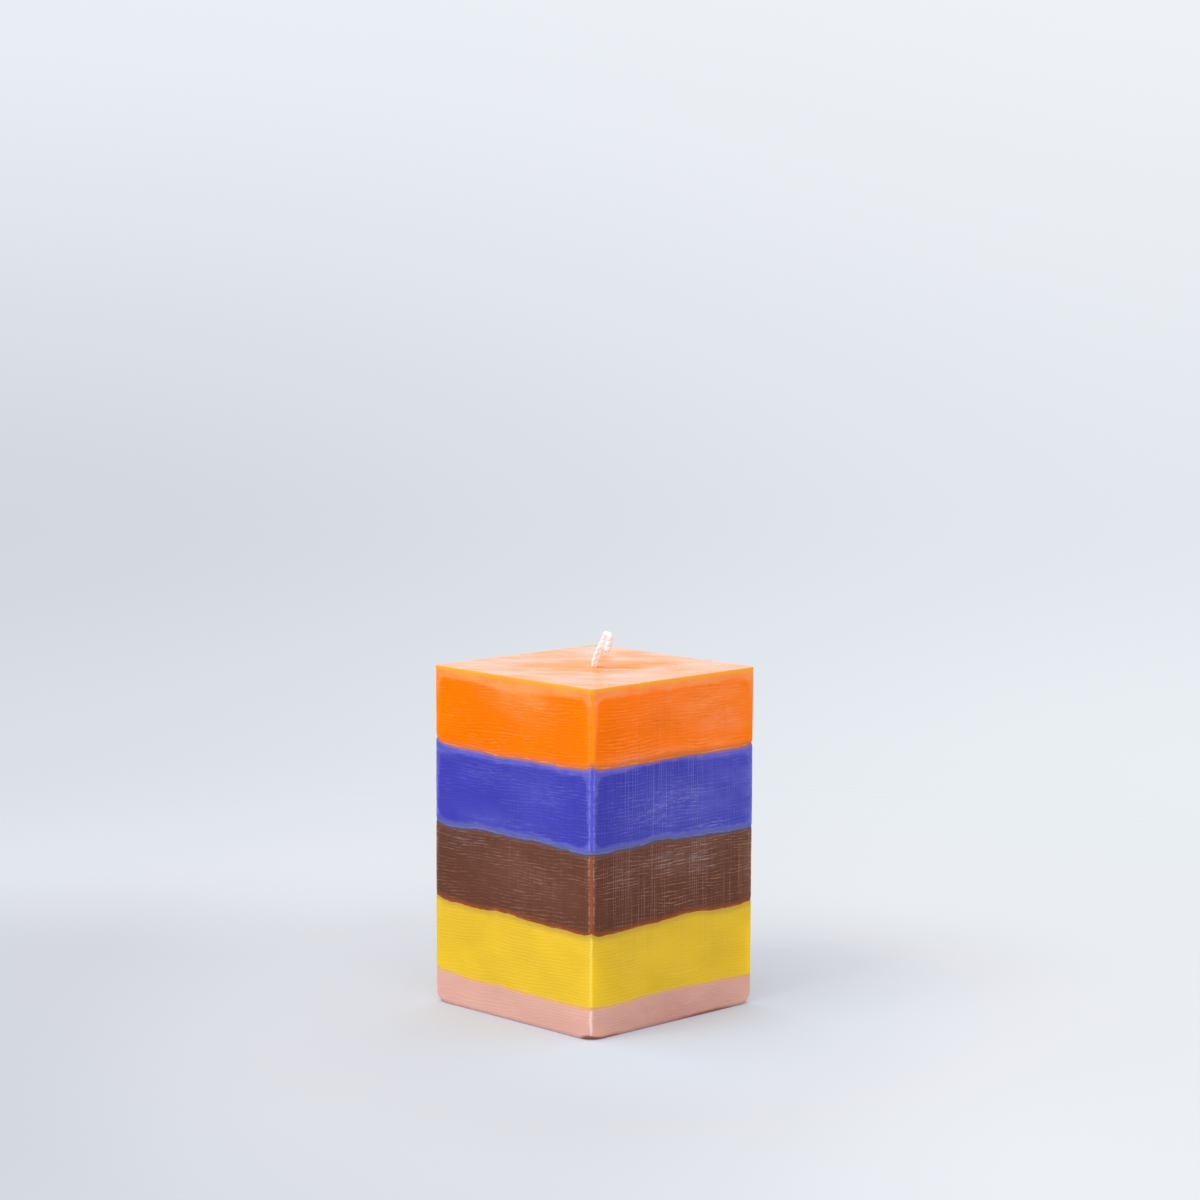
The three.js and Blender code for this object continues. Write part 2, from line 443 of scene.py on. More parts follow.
class Value:
    """A number in a node tree. Arithmetic on it adds nodes, so that a material reads as a formula."""

    def __init__(self, graph: Graph, socket: Socket) -> None:
        """Keep the graph and the socket that gives the number."""
        self.graph = graph
        self.socket = socket

    def __add__(self, other: Term) -> Value:
        """Add something to this."""
        return self.graph.math("ADD", self, other)

    def __sub__(self, other: Term) -> Value:
        """Take something from this."""
        return self.graph.math("SUBTRACT", self, other)

    def __rsub__(self, other: float) -> Value:
        """Take this from a plain number."""
        return self.graph.math("SUBTRACT", other, self)

    def __mul__(self, other: Term) -> Value:
        """Multiply this."""
        return self.graph.math("MULTIPLY", self, other)

    def __abs__(self) -> Value:
        """Drop the sign."""
        return self.graph.math("ABSOLUTE", self)


Term = Value | Socket | float


class Graph:
    """Adds nodes to a node tree and links them, so that a material reads as a list of steps."""

    def __init__(self, tree: bpy.types.NodeTree) -> None:
        """Keep the tree that the nodes go into."""
        self.tree = tree

    def feed(self, node: bpy.types.Node, inputs: dict[str | int, object]) -> None:
        """Set a node's inputs, or link them where a socket or a Value is given."""
        for key, value in inputs.items():
            source = value.socket if isinstance(value, Value) else value
            if isinstance(source, Socket):
                self.tree.links.new(source, node.inputs[key])
            else:
                node.inputs[key].default_value = source

    def node(self, kind: str, inputs: dict[str | int, object] | None = None,
             **settings: object) -> bpy.types.Node:
        """Add a node.

        Args:
            kind: The node's type name.
            inputs: What goes into each input, by name or number.
            **settings: The node's own settings.

        Returns:
            The new node.
        """
        made = self.tree.nodes.new(kind)
        for name, value in settings.items():
            setattr(made, name, value)
        self.feed(made, inputs or {})
        return made

    def number(self, kind: str, inputs: dict[str | int, object], output: str | int = 0,
               **settings: object) -> Value:
        """Add a node and read a number from one of its outputs."""
        return Value(self, self.node(kind, inputs, **settings).outputs[output])

    def math(self, operation: str, a: Term, b: Term = 0.0) -> Value:
        """Work out one step of arithmetic."""
        return self.number("ShaderNodeMath", {0: a, 1: b}, operation=operation)

    def vector(self, operation: str, a: object, b: object) -> Socket:
        """Combine two vectors."""
        return self.node("ShaderNodeVectorMath", {0: a, 1: b}, operation=operation).outputs[0]

    def along(self, vector: Socket, direction: Direction) -> Value:
        """How far a vector reaches in a direction."""
        return self.number("ShaderNodeVectorMath", {0: vector, 1: direction}, 1, operation="DOT_PRODUCT")

    def height(self, vector: Socket) -> Value:
        """How far a vector reaches upwards."""
        return self.number("ShaderNodeSeparateXYZ", {0: vector}, 2)

    def place(self) -> Socket:
        """Position on the object, in millimetres."""
        coordinates = self.node("ShaderNodeTexCoord").outputs["Object"]
        return self.vector("MULTIPLY", coordinates, (1000.0, 1000.0, 1000.0))

    def mark(self, name: str) -> Value:
        """Read a mesh attribute."""
        return self.number("ShaderNodeAttribute", {}, "Fac", attribute_name=name, attribute_type="GEOMETRY")

    def noise(self, vector: Socket, pace: Direction, detail: float = 2.0, roughness: float = 0.5) -> Value:
        """Read fractal noise.

        Args:
            vector: Where to read it.
            pace: How fast the noise changes along X, Y and Z. Its grain is 1 over the pace.
            detail: How many finer layers it has.
            roughness: How strong each finer layer is.

        Returns:
            A value near 0.5, from 0 to 1.
        """
        inputs = {"Vector": self.vector("MULTIPLY", vector, pace), "Scale": 1.0, "Detail": detail,
                  "Roughness": roughness}
        return self.number("ShaderNodeTexNoise", inputs, "Fac")

    def rise(self, value: Term, low: Term, high: Term, bottom: Term = 0.0, top: Term = 1.0) -> Value:
        """Rise smoothly from bottom at low to top at high."""
        inputs = {"Value": value, 1: low, 2: high, 3: bottom, 4: top}
        return self.number("ShaderNodeMapRange", inputs, interpolation_type="SMOOTHSTEP")

    def fall(self, value: Term, low: Term, high: Term, top: Term = 1.0) -> Value:
        """Fall smoothly from top at low to 0 at high."""
        return self.rise(value, low, high, top, 0.0)

    def largest(self, a: Term, b: Term) -> Value:
        """Take the larger of two numbers."""
        return self.math("MAXIMUM", a, b)

    def sine(self, value: Value, wavelength: float) -> Value:
        """Draw waves along a value."""
        return self.math("SINE", value * (2 * math.pi / wavelength))

    def lines(self, value: Value, sharpness: float) -> Value:
        """Draw thin lines where noise passes its middle value."""
        return self.largest(1 - abs(value - 0.5) * sharpness, 0.0)

    def mix(self, share: Term, a: object, b: object) -> Socket:
        """Blend two colours by a share from 0 to 1."""
        inputs = {"Factor": share, 6: a, 7: b}
        return self.node("ShaderNodeMix", inputs, data_type="RGBA", clamp_factor=True).outputs[2]

    def bump(self, height: Term, distance: float, strength: float = 1.0) -> Socket:
        """Turn a height into a normal."""
        inputs = {"Height": height, "Distance": distance, "Strength": strength}
        return self.node("ShaderNodeBump", inputs).outputs[0]


class SocketKind(Enum):
    """The kinds of socket that the shader groups have."""

    NUMBER = "NodeSocketFloat"
    COLOUR = "NodeSocketColor"


def shader_group(name: str, inputs: dict[str, SocketKind],
                 draw: Callable[[Graph, Sockets], dict[str, object]]) -> bpy.types.NodeTree:
    """Build a shader node group that gives a colour, a roughness and a height.

    Args:
        name: The group's name.
        inputs: Each input's name and kind.
        draw: Adds the group's nodes and returns what each output gets.

    Returns:
        The group's node tree.
    """
    outputs = {"Color": SocketKind.COLOUR, "Roughness": SocketKind.NUMBER, "Height": SocketKind.NUMBER}
    tree = bpy.data.node_groups.new(name, "ShaderNodeTree")
    for direction, sockets in (("INPUT", inputs), ("OUTPUT", outputs)):
        for socket, kind in sockets.items():
            tree.interface.new_socket(socket, in_out=direction, socket_type=kind.value)
    graph = Graph(tree)
    given = graph.node("NodeGroupInput")
    graph.feed(graph.node("NodeGroupOutput"), draw(graph, given.outputs))
    return tree


def new_material(name: str) -> tuple[bpy.types.Material, Graph, bpy.types.Node]:
    """Start a material.

    Args:
        name: The material's name.

    Returns:
        The material, its graph and its shader.
    """
    material = bpy.data.materials.new(name)
    material.use_nodes = True
    return material, Graph(material.node_tree), material.node_tree.nodes["Principled BSDF"]


@dataclass(frozen=True)
class Ripples:
    """The level ripples of a wall.

    The swell is their wave. The crest is where they stand out, and the mark and the trough are how strongly
    their crests are painted pale, a painted highlight, and their hollows darker, a painted shade. The dash
    tears them, and broken is where they are whole.
    """

    swell: Value
    crest: Value
    mark: Value
    trough: Value
    dash: Value
    broken: Value


class WallSkin:
    """Draws the skin of a poured wall. Lengths are millimetres, and attributes give each mark's place.

    The ripples tilt by a slope along X and Y, bend by the slow and the quick bend and are torn by the tear.
    Their wavelength and the comb's tooth to tooth distance are lengths on the wall. The ridge is how far the
    frosted strips stand from a corner. The heights are those of the relief.
    """

    tilt: Direction = (0.02, 0.05, 0.0)
    wavelength: float = 1.02
    slow_bend: float = 3.4
    quick_bend: float = 0.7
    tear: float = 4.0
    tooth: float = 0.83
    ridge: float = 0.95
    # The colour of the haze on rubbed places and of the painted sheen over the streaked places.
    veil: Tint = (220, 218, 244)
    swell_height: float = 0.018
    streak_height: float = 0.015
    grain_height: float = 0.012
    gloss_floor: float = 0.36

    def __init__(self, graph: Graph, take: Sockets) -> None:
        """Draw the marks that both the colour and the relief read.

        Args:
            graph: The group's nodes.
            take: The group's inputs.
        """
        self.graph = graph
        self.take = take
        self.place = graph.place()
        self.streak = graph.mark("streak")
        self.wobble = graph.noise(self.place, (0.35, 0.35, 0.6)) - 0.5
        self.patchy = graph.rise(graph.noise(self.place, (0.3, 0.3, 0.9), detail=3.0), 0.4, 0.62, 0.15, 1.0)
        self.ripples = self.draw_ripples()
        self.comb, self.furrow = self.draw_comb()
        self.rubbed = self.draw_rubbing()
        self.margin = self.draw_margin()

    def draw_ripples(self) -> Ripples:
        """Draw level ripples: a bent sine, torn into dashes that come and go along the wall."""
        graph, place = self.graph, self.place
        shear = graph.node("ShaderNodeCombineXYZ", {2: graph.along(place, self.tilt)}).outputs[0]
        tilted = graph.vector("ADD", place, shear)
        slow = graph.noise(place, (0.05, 0.05, 0.12), detail=1.0) - 0.5
        quick = graph.noise(place, (0.22, 0.22, 0.7), detail=1.0) - 0.5
        bent = quick * self.quick_bend + (slow * self.slow_bend + graph.height(tilted))
        wave = graph.sine(bent, self.wavelength)
        strong = graph.rise(graph.noise(place, (0.05, 0.05, 0.12)), 0.36, 0.6, 0.35, 1.0)
        dash = graph.noise(tilted, (0.2, 0.2, 2.6), detail=4.0, roughness=0.7) - 0.5
        broken = graph.rise(graph.noise(tilted, (0.1, 0.1, 1.0)), 0.34, 0.56, 0.15, 1.0)
        torn = wave * 0.6 + dash * self.tear
        marked = broken * strong
        # Painted light: pale crests as highlights and darker hollows as shade, stronger where the streaks
        # are.
        ripple_light_and_shade = (self.streak * 0.85 + 0.9) * self.take["Ripples"]
        crest = graph.rise(torn, 0.1, 1.15) * marked
        trough = graph.fall(torn, -1.0, -0.2) * marked
        return Ripples(wave * strong, crest, crest * ripple_light_and_shade, trough * ripple_light_and_shade, dash, broken)

    def draw_comb(self) -> tuple[Value, Value]:
        """Draw upright streaks and the furrows between them, as a fine-toothed tool would leave them. The
        streaks are painted pale, partly a painted highlight, and the furrows darker, a painted shade.
        """
        graph, place = self.graph, self.place
        line = graph.along(place, (1.0, 1.0, 0.0)) + graph.noise(place, (0.4, 0.4, 0.03), detail=1.0)
        comb = graph.sine(line, self.tooth) * 0.1 + graph.noise(place, (2.4, 2.4, 0.016), roughness=0.75)
        kept = graph.rise(graph.noise(place, (0.3, 0.3, 0.04)), 0.35, 0.6, 0.2, 1.0)
        reach = kept * self.take["Streaks"] * self.streak
        return graph.rise(comb, 0.5, 0.68) * reach, graph.fall(comb, 0.34, 0.46) * reach

    def draw_rubbing(self) -> Value:
        """Draw the rubbed places: scratches, specks and a thin haze."""
        graph, place = self.graph, self.place
        scratch = graph.lines(graph.noise(place, (0.09, 0.09, 0.8), roughness=0.6), 22.0)
        speck = graph.rise(graph.noise(place, (1.7, 1.7, 2.4), detail=1.0), 0.66, 0.76)
        hatch = graph.largest(scratch * self.ripples.broken, graph.largest(self.ripples.crest, speck))
        haze = graph.rise(graph.noise(place, (0.35, 0.35, 0.6), detail=3.0), 0.45, 0.7, 0.0, 0.25)
        return graph.largest(hatch, haze) * graph.mark("scuff") * self.take["Scuffs"]

    def draw_margin(self) -> Value:
        """Draw the milky margin round the clear panel, with a wandering edge."""
        panel = self.graph.mark("panel") + self.wobble * 1.4 + self.ripples.dash * 1.6
        return self.graph.fall(panel, -0.6, 0.8) * self.take["Margins"]

    def paint_wax(self) -> Socket:
        """Paint the wax itself, with its milky clouds and margin, and painted shade in the comb's furrows and
        the ripples' hollows.
        """
        graph, take, place = self.graph, self.take, self.place
        tone = graph.rise(graph.noise(place, (0.04, 0.04, 0.09), detail=3.0), 0.3, 0.7, 0.94, 1.05)
        # Painted shade: the comb's furrows and the ripples' hollows darken the wax.
        tone = tone - self.furrow * 0.16 - self.ripples.trough * 0.08
        body = graph.node("ShaderNodeVectorMath", {0: take["Body"], "Scale": tone}, operation="SCALE")
        milk = graph.noise(place, (0.1, 0.1, 0.3), detail=4.0, roughness=0.6)
        cloud = graph.mark("cloud") * graph.rise(milk, 0.25, 0.7, 0.25, 1.0) * take["Clouds"]
        colour = graph.mix(cloud, body.outputs[0], take["Film"])
        uneven = graph.rise(graph.noise(place, (0.12, 0.12, 0.25)), 0.3, 0.65, 0.45, 1.0)
        return graph.mix(self.margin * uneven, colour, take["Film"])

    def paint_marks_and_sheen(self, colour: Socket) -> Socket:
        """Paint the pale marks: painted highlights on the ripples' crests and the comb's streaks, specks of
        dust, and a pale haze that is real on rubbed places and, over the streaked places, a painted sheen.
        """
        graph, take = self.graph, self.take
        dust = graph.rise(graph.noise(self.place, (2.2, 2.2, 2.6), roughness=0.7), 0.55, 0.75)
        dust = dust * (self.streak * 0.16 + 0.06)
        pale = self.ripples.mark * 0.15 + self.comb * 0.14 + dust * take["Ripples"]
        colour = graph.mix(pale, colour, take["Mark"])
        # Painted sheen over the streaked places, with the haze of rubbed places.
        veil = self.rubbed * 0.22 + self.streak * take["Veil"]
        return graph.mix(veil, colour, linear(self.veil))

    def paint_corner(self, colour: Socket) -> Socket:
        """Paint light near a corner into the colour: the light that comes through the wax, a painted
        highlight that glows along the edge, and the edge's frosted sides.
        """
        graph, take = self.graph, self.take
        colour = graph.mix(graph.mark("through") * take["Lit"], colour, take["Through"])
        drift = graph.noise(self.place, (0.02, 0.02, 0.3), detail=3.0) - 0.5
        edge = abs(graph.mark("corner") + drift * 1.2)
        # Painted highlight glowing along the corner's edge.
        colour = graph.mix(graph.fall(edge, 0.25, 0.7) * take["Glow"], colour, take["Corner"])
        frost = graph.fall(abs(edge - self.ridge), 0.12, 0.42) * take["Frost"]
        return graph.mix(frost * self.patchy, colour, take["Mark"])

    def paint_seams(self, colour: Socket) -> Socket:
        """Paint a band next to each seam, the pale brim over a seam and the stain patches. Under the orange
        rim the band is painted light, and at the pink foot the band and the stain patches are painted shade,
        darker towards the floor.
        """
        graph, take = self.graph, self.take
        rim = graph.mark("rim")
        fray = self.wobble * 0.8
        over = rim + fray
        under = graph.mark("foot") + fray
        # Under the upper seam a band in the above colour: for the orange pour painted light along the rim.
        colour = graph.mix(graph.fall(over, 0.0, take["Above reach"]), colour, take["Above"])
        # Painted highlight on the rounded rim, in the film's colour.
        colour = graph.mix(graph.fall(rim, 0.1, 0.5, take["Rim"]), colour, take["Film"])
        # Above the lower seam a band in the below colour: at the pink foot painted shade, darker towards the
        # floor.
        colour = graph.mix(graph.fall(under, 0.0, take["Below reach"]), colour, take["Below"])
        brim = graph.fall(abs(under - 0.3), 0.1, 0.35) * self.patchy
        colour = graph.mix(brim * take["Brim"], colour, take["Mark"])
        # Stain patches; those at the pink foot are painted shade along the floor.
        stained = graph.rise(self.wobble * 0.5 + graph.mark("stain"), 0.1, 0.9)
        return graph.mix(stained, colour, take["Stain"])

    def results(self) -> dict[str, object]:
        """Give the colour, the roughness and the relief's height in millimetres."""
        colour = self.paint_seams(self.paint_corner(self.paint_marks_and_sheen(self.paint_wax())))
        fine = self.graph.noise(self.place, (1.6, 1.6, 1.6), detail=3.0)
        dull = self.margin * 0.06 + self.rubbed * 0.1
        relief = self.ripples.swell * self.swell_height + self.comb * self.streak_height
        relief = relief + fine * self.grain_height
        return {"Color": colour, "Roughness": fine * 0.12 + (dull + self.gloss_floor), "Height": relief}


def draw_wall(graph: Graph, take: Sockets) -> dict[str, object]:
    """Draw the wall group's nodes."""
    return WallSkin(graph, take).results()


def draw_top(graph: Graph, take: Sockets) -> dict[str, object]:
    """Draw the top face: a pale skin, partly a painted sheen, with the long shallow swirls and brush lines
    that a slow pour leaves; clear orange where less sheen is painted, a painted shadow of the wick and a
    painted highlight along the rim.

    Args:
        graph: The group's nodes.
        take: The group's inputs.

    Returns:
        Colour, roughness and the relief's height in millimetres.
    """
    place = graph.place()
    bend = graph.noise(place, (0.05, 0.05, 0.05))
    shift = graph.node("ShaderNodeCombineXYZ", {0: bend * 14.0, 1: bend}).outputs[0]
    flow = graph.vector("ADD", place, shift)
    turned = graph.node("ShaderNodeVectorRotate", {"Vector": flow, "Angle": math.radians(44.4)},
                        rotation_type="Z_AXIS").outputs[0]
    brush = graph.noise(turned, (0.14, 0.9, 0.1), detail=4.0, roughness=0.6) - 0.5
    swirl = brush * 0.35 + graph.noise(turned, (0.05, 0.16, 0.1))
    # Painted sheen: the pale film stands partly for a reflection.
    milk = graph.rise(swirl, 0.35, 0.65) * take["Milk"]
    fresh = graph.mark("fresh") * graph.rise(swirl, 0.3, 0.6, 1.0, 0.45)
    colour = graph.mix(milk - fresh, take["Body"], take["Film"])
    colour = graph.mix(fresh * 0.85, colour, take["Clear"])
    # Painted shadow of the wick, where the mark passes 1.
    colour = graph.mix(graph.rise(fresh, 0.9, 1.8), colour, take["Deep"])
    # Painted highlight along the rim and the pool's edge.
    colour = graph.mix(graph.fall(graph.mark("rim_gap"), 0.0, 1.6) * 0.6, colour, take["Edge"])
    roughness = swirl * 0.16 + 0.16 + graph.largest(fresh, 0.0) * 0.3
    relief = swirl * take["Relief"] + graph.noise(place, (1.2, 1.2, 1.2), detail=3.0) * 0.01
    return {"Color": colour, "Roughness": roughness, "Height": relief}


@dataclass(frozen=True)
class Finish:
    """What a wax material hands to its shader group, each field under its own name."""

    @classmethod
    def sockets(cls) -> dict[str, SocketKind]:
        """The group's inputs and their kinds."""
        return {cls.title(item.name): SocketKind.COLOUR if item.type == "Tint" else SocketKind.NUMBER
                for item in fields(cls) if item.name != "specular"}

    @staticmethod
    def title(name: str) -> str:
        """A field's name as the group writes it."""
        return name.replace("_", " ").capitalize()

    def values(self) -> dict[str, object]:
        """The value of each of the group's inputs."""
        given = {self.title(item.name): getattr(self, item.name) for item in fields(self)
                 if item.name != "specular"}
        return {name: linear(value) if isinstance(value, tuple) else value for name, value in given.items()}


@dataclass(frozen=True)
class WallFinish(Finish):
    """The colours and marks of one pour's walls. Reaches are millimetres and strengths run from 0 to 1."""

    body: Tint
    film: Tint
    mark: Tint
    # The corner and through colours, with the glow and lit strengths, paint light: a highlight along the edge
    # and light coming through the wax.
    corner: Tint
    through: Tint
    above: Tint
    below: Tint
    stain: Tint = (150, 84, 60)
    above_reach: float = 0.8
    below_reach: float = 0.8
    margins: float = 0.6
    ripples: float = 1.0
    streaks: float = 1.0
    scuffs: float = 1.0
    clouds: float = 1.0
    glow: float = 0.9
    lit: float = 0.0
    frost: float = 0.7
    brim: float = 0.0
    rim: float = 0.0
    # Strength of the painted sheen over the streaked places.
    veil: float = 0.0
    specular: float = 0.04


@dataclass(frozen=True)
class TopFinish(Finish):
    """The colours of a poured top face and the depth of its swirls in millimetres. The film is partly a
    painted sheen, the darkest colour a painted shadow and the edge colour a painted highlight.
    """

    body: Tint
    film: Tint
    clear: Tint
    deep: Tint
    edge: Tint
    milk: float
    relief: float = 0.4
    specular: float = 0.25


# The orange walls' above colour and rim strength paint light along the rim, and lit paints light through the
# corners.
ORANGE_WALL = WallFinish(
    body=(255, 115, 0), film=(255, 160, 98), mark=(255, 174, 100), corner=(255, 146, 0),
    through=(255, 124, 0), above=(255, 169, 54), below=(206, 112, 66), stain=(214, 106, 50),
    above_reach=2.3, below_reach=2.1, margins=0.68, ripples=2.0, streaks=1.2, lit=0.6, frost=0.25,
    brim=0.4, rim=0.6, veil=0.018, specular=0.0)
BLUE_WALL = WallFinish(
    body=(61, 60, 170), film=(106, 108, 202), mark=(148, 150, 250), corner=(88, 84, 212),
    through=(64, 62, 180), above=(156, 108, 152), below=(94, 98, 146), stain=(98, 96, 142),
    above_reach=1.1, below_reach=2.2, margins=0.75, ripples=1.0, streaks=2.6, frost=0.55, brim=0.25,
    veil=0.014)
BROWN_WALL = WallFinish(
    body=(97, 57, 42), film=(120, 82, 68), mark=(232, 180, 162), corner=(160, 84, 46),
    through=(120, 62, 40), above=(88, 80, 92), below=(142, 68, 30), above_reach=1.0, below_reach=2.0,
    margins=0.55, ripples=1.3, streaks=1.9, frost=0.35, brim=0.1)
YELLOW_WALL = WallFinish(
    body=(229, 188, 45), film=(232, 192, 70), mark=(255, 222, 160), corner=(250, 220, 84),
    through=(255, 208, 34), above=(198, 160, 58), below=(230, 175, 100), above_reach=2.6,
    below_reach=0.9, margins=0.3, ripples=0.75, streaks=1.2, lit=0.9, frost=0.0, brim=0.1, veil=0.008)
# The pink foot's below and stain colours are painted shade, darker towards the floor.
PINK_WALL = WallFinish(
    body=(220, 169, 154), film=(206, 142, 132), mark=(250, 220, 216), corner=(246, 214, 202),
    through=(255, 190, 164), above=(228, 172, 112), below=(190, 150, 142), stain=(158, 98, 82),
    above_reach=0.8, below_reach=1.5, margins=0.0, ripples=0.7, streaks=2.2, lit=0.8, frost=0.2)
# The top faces' film is partly a painted sheen, the darkest colour a painted shadow of the wick and the edge
# colour a painted highlight.
ORANGE_TOP = TopFinish(
    body=(255, 160, 88), film=(255, 197, 174), clear=(255, 148, 34), deep=(250, 122, 62),
    edge=(255, 184, 120), milk=0.8)
POOL_TOP = TopFinish(
    body=(255, 158, 82), film=(255, 195, 168), clear=(255, 148, 30), deep=(250, 118, 56),
    edge=(255, 190, 158), milk=0.75)


class WaxPaint:
    """Makes the wax materials from two shader groups, one for the walls and one for the top faces."""

    def __init__(self) -> None:
        """Build both groups once."""
        self.groups = {
            WallFinish: shader_group("poured wall", WallFinish.sockets(), draw_wall),
            TopFinish: shader_group("poured top", TopFinish.sockets(), draw_top),
        }

    def material(self, name: str, finish: WallFinish | TopFinish) -> bpy.types.Material:
        """Make a wax material.

        Args:
            name: The material's name.
            finish: Its colours and marks.

        Returns:
            The material.
        """
        material, graph, shader = new_material(name)
        group = graph.node("ShaderNodeGroup", node_tree=self.groups[type(finish)])
        graph.feed(group, finish.values())
        graph.feed(shader, {
            "Base Color": group.outputs["Color"], "Roughness": group.outputs["Roughness"],
            "Normal": graph.bump(group.outputs["Height"], MILLIMETRE), "Specular IOR Level": finish.specular})
        return material


# The wax


@dataclass(frozen=True)
class Margins:
    """Widths of the milky margin inside a pour's outline, and the radius of its inner corners.

    The side margin is wider at the rim than at the foot, by the taper's share of its width each way.
    """

    top: float
    bottom: float
    side: float
    corner: float = 2.0
    taper: float = 0.35


@dataclass
class Pour:
    """One layer of wax between two seams, from the wick's bore out to the walls.

    The light that comes through the corners, painted into the colour, has eight values, one for each half of
    a wall, from the front corner on. The shares are where the hidden rings lie between the bore and the wall.
    """

    name: str
    node: str
    slot: str
    lower: Seam | None
    upper: Seam | None
    finish: WallFinish
    margins: Margins
    dips: tuple[Swell, ...] = ()
    clouds: tuple[Patch, ...] = ()
    stains: tuple[Patch, ...] = ()
    scuffs: tuple[Patch, ...] = ()
    streaks: tuple[Patch, ...] = ()
    rows: int = 54
    shares: tuple[float, ...] = (0.0, 0.35, 0.7, 0.9, 0.97)
    waviness: float = 0.05
    nick_height: float = 0.7
    light_length: float = 4.0
    light_through: tuple[float, ...] = (1.0, 1.3, 0.8, 0.8, 0.6, 0.6, 0.2, 0.3)
    walk: Array = field(default_factory=BLOCK.walks)

    def bounds(self) -> tuple[Array, Array]:
        """Lowest and highest height of the wall at each column."""
        low = self.lower.height(self.walk) if self.lower else np.zeros(self.walk.shape)
        high = self.upper.height(self.walk) if self.upper else np.full(self.walk.shape, BLOCK.height)
        return low, high

    def relief(self, walk: Array, height: Array) -> Array:
        """How far the wall stands out: slow waves of the mould, and a nick where a seam meets a corner."""
        slow = Grain(5, 28).at(walk / 10, height / 9) + 0.6 * Grain(6, 70).at(walk / 4, height / 3.2)
        nick = np.zeros(np.broadcast(walk, height).shape)
        for seam in SEAMS:
            nick = nick + seam.nick * bell(height - seam.height(walk), self.nick_height)
        return self.waviness * slow - nick * (0.15 + BLOCK.near_corner(walk, 4.0))

    def wall_rings(self) -> Array:
        """Rings of points down the wall, from the upper seam to the lower one."""
        low, high = self.bounds()
        share = crowded(np.linspace(1, 0, self.rows)[:, None], 0.6)
        return self.wall_points(low + share * (high - low))

    def wall_points(self, height: Array) -> Array:
        """Points on the wall at the given heights, one column for each walk."""
        radius, inset = BLOCK.foot_shape(height)
        walk = np.broadcast_to(self.walk, height.shape)
        points, normals = BLOCK.outline(walk, radius, inset - BLOCK.flare(height))
        return raised(points + normals * self.relief(walk, height)[..., None], height)

    def seam_rings(self, seam: Seam, wall: Array) -> Array:
        """Rings across a seam, level at the bore and taking up the wall's waves outwards."""
        bore = outward(bearings(wall)) * BLOCK.bore_radius
        share = np.array(self.shares)[:, None]
        flat = bore + (wall[:, :2] - bore) * share[..., None]
        return raised(flat, seam.level + (wall[:, 2] - seam.level) * share ** 3)

    def over_rings(self, wall: Array) -> Array:
        """Rings over the top of the pour, from the bore out."""
        return self.seam_rings(self.upper, wall)

    def under_rings(self, wall: Array) -> Array:
        """Rings under the pour, from the wall in to the bore."""
        return self.seam_rings(self.lower, wall)[::-1]

    def panel_distance(self, walk: Array, rim: Array, foot: Array) -> Array:
        """Find how far a point lies inside the clear panel of the wall, which has rounded inner corners.

        Args:
            walk: Distance round the block.
            rim: Depth below the pour's upper edge.
            foot: Height above its lower edge.

        Returns:
            The distance from the panel's outline, negative outside it.
        """
        rise = 2 * foot / (rim + foot) - 1
        side = np.abs(BLOCK.corner_distance(walk)) - self.margins.side * (1 + self.margins.taper * rise)
        top = self.margins.top + sum(dip.lift(walk - dip.walk) for dip in self.dips)
        level = np.minimum(rim - top, foot - self.margins.bottom)
        radius = self.margins.corner
        across, up = radius - side, radius - level
        return np.where((across > 0) & (up > 0), radius - np.hypot(across, up), np.minimum(side, level))

    def marks(self, rings: Array) -> dict[str, Array]:
        """Work out every attribute that the wall's shader reads."""
        walk = np.broadcast_to(self.walk, rings.shape[:2])
        height = rings[..., 2]
        low, high = self.bounds()
        rim, foot = high - height, height - low
        lit = np.array(self.light_through)[(walk // (BLOCK.width / 2)).astype(int) % 8]
        marks = {
            "rim": rim, "foot": foot, "corner": BLOCK.corner_distance(walk),
            "panel": self.panel_distance(walk, rim, foot),
            # Painted light coming through the wax near the corners.
            "through": lit * BLOCK.near_corner(walk, self.light_length) * smoothstep(rim, 1, 12),
        }
        soft = {"cloud": self.clouds, "scuff": self.scuffs, "streak": self.streaks, "stain": self.stains}
        return marks | {name: patches(found, walk, height) for name, found in soft.items()}

    def build(self, paint: WaxPaint) -> bpy.types.Object:
        """Make the pour's mesh, dress it and let it stand for its node."""
        wall = self.wall_rings()
        over, under = self.over_rings(wall[0]), self.under_rings(wall[-1])
        rings = np.concatenate([over, wall, under])
        wax = paint.material(f"{self.slot} wall", self.finish)
        piece = Mesh.from_rings(rings, self.marks(rings)).piece(self.name, wax)
        self.dress_more(piece, paint, len(over))
        return hold(piece, self.node)

    def dress_more(self, piece: bpy.types.Object, paint: WaxPaint, over_rings: int) -> None:
        """Leave a plain pour with its one material."""


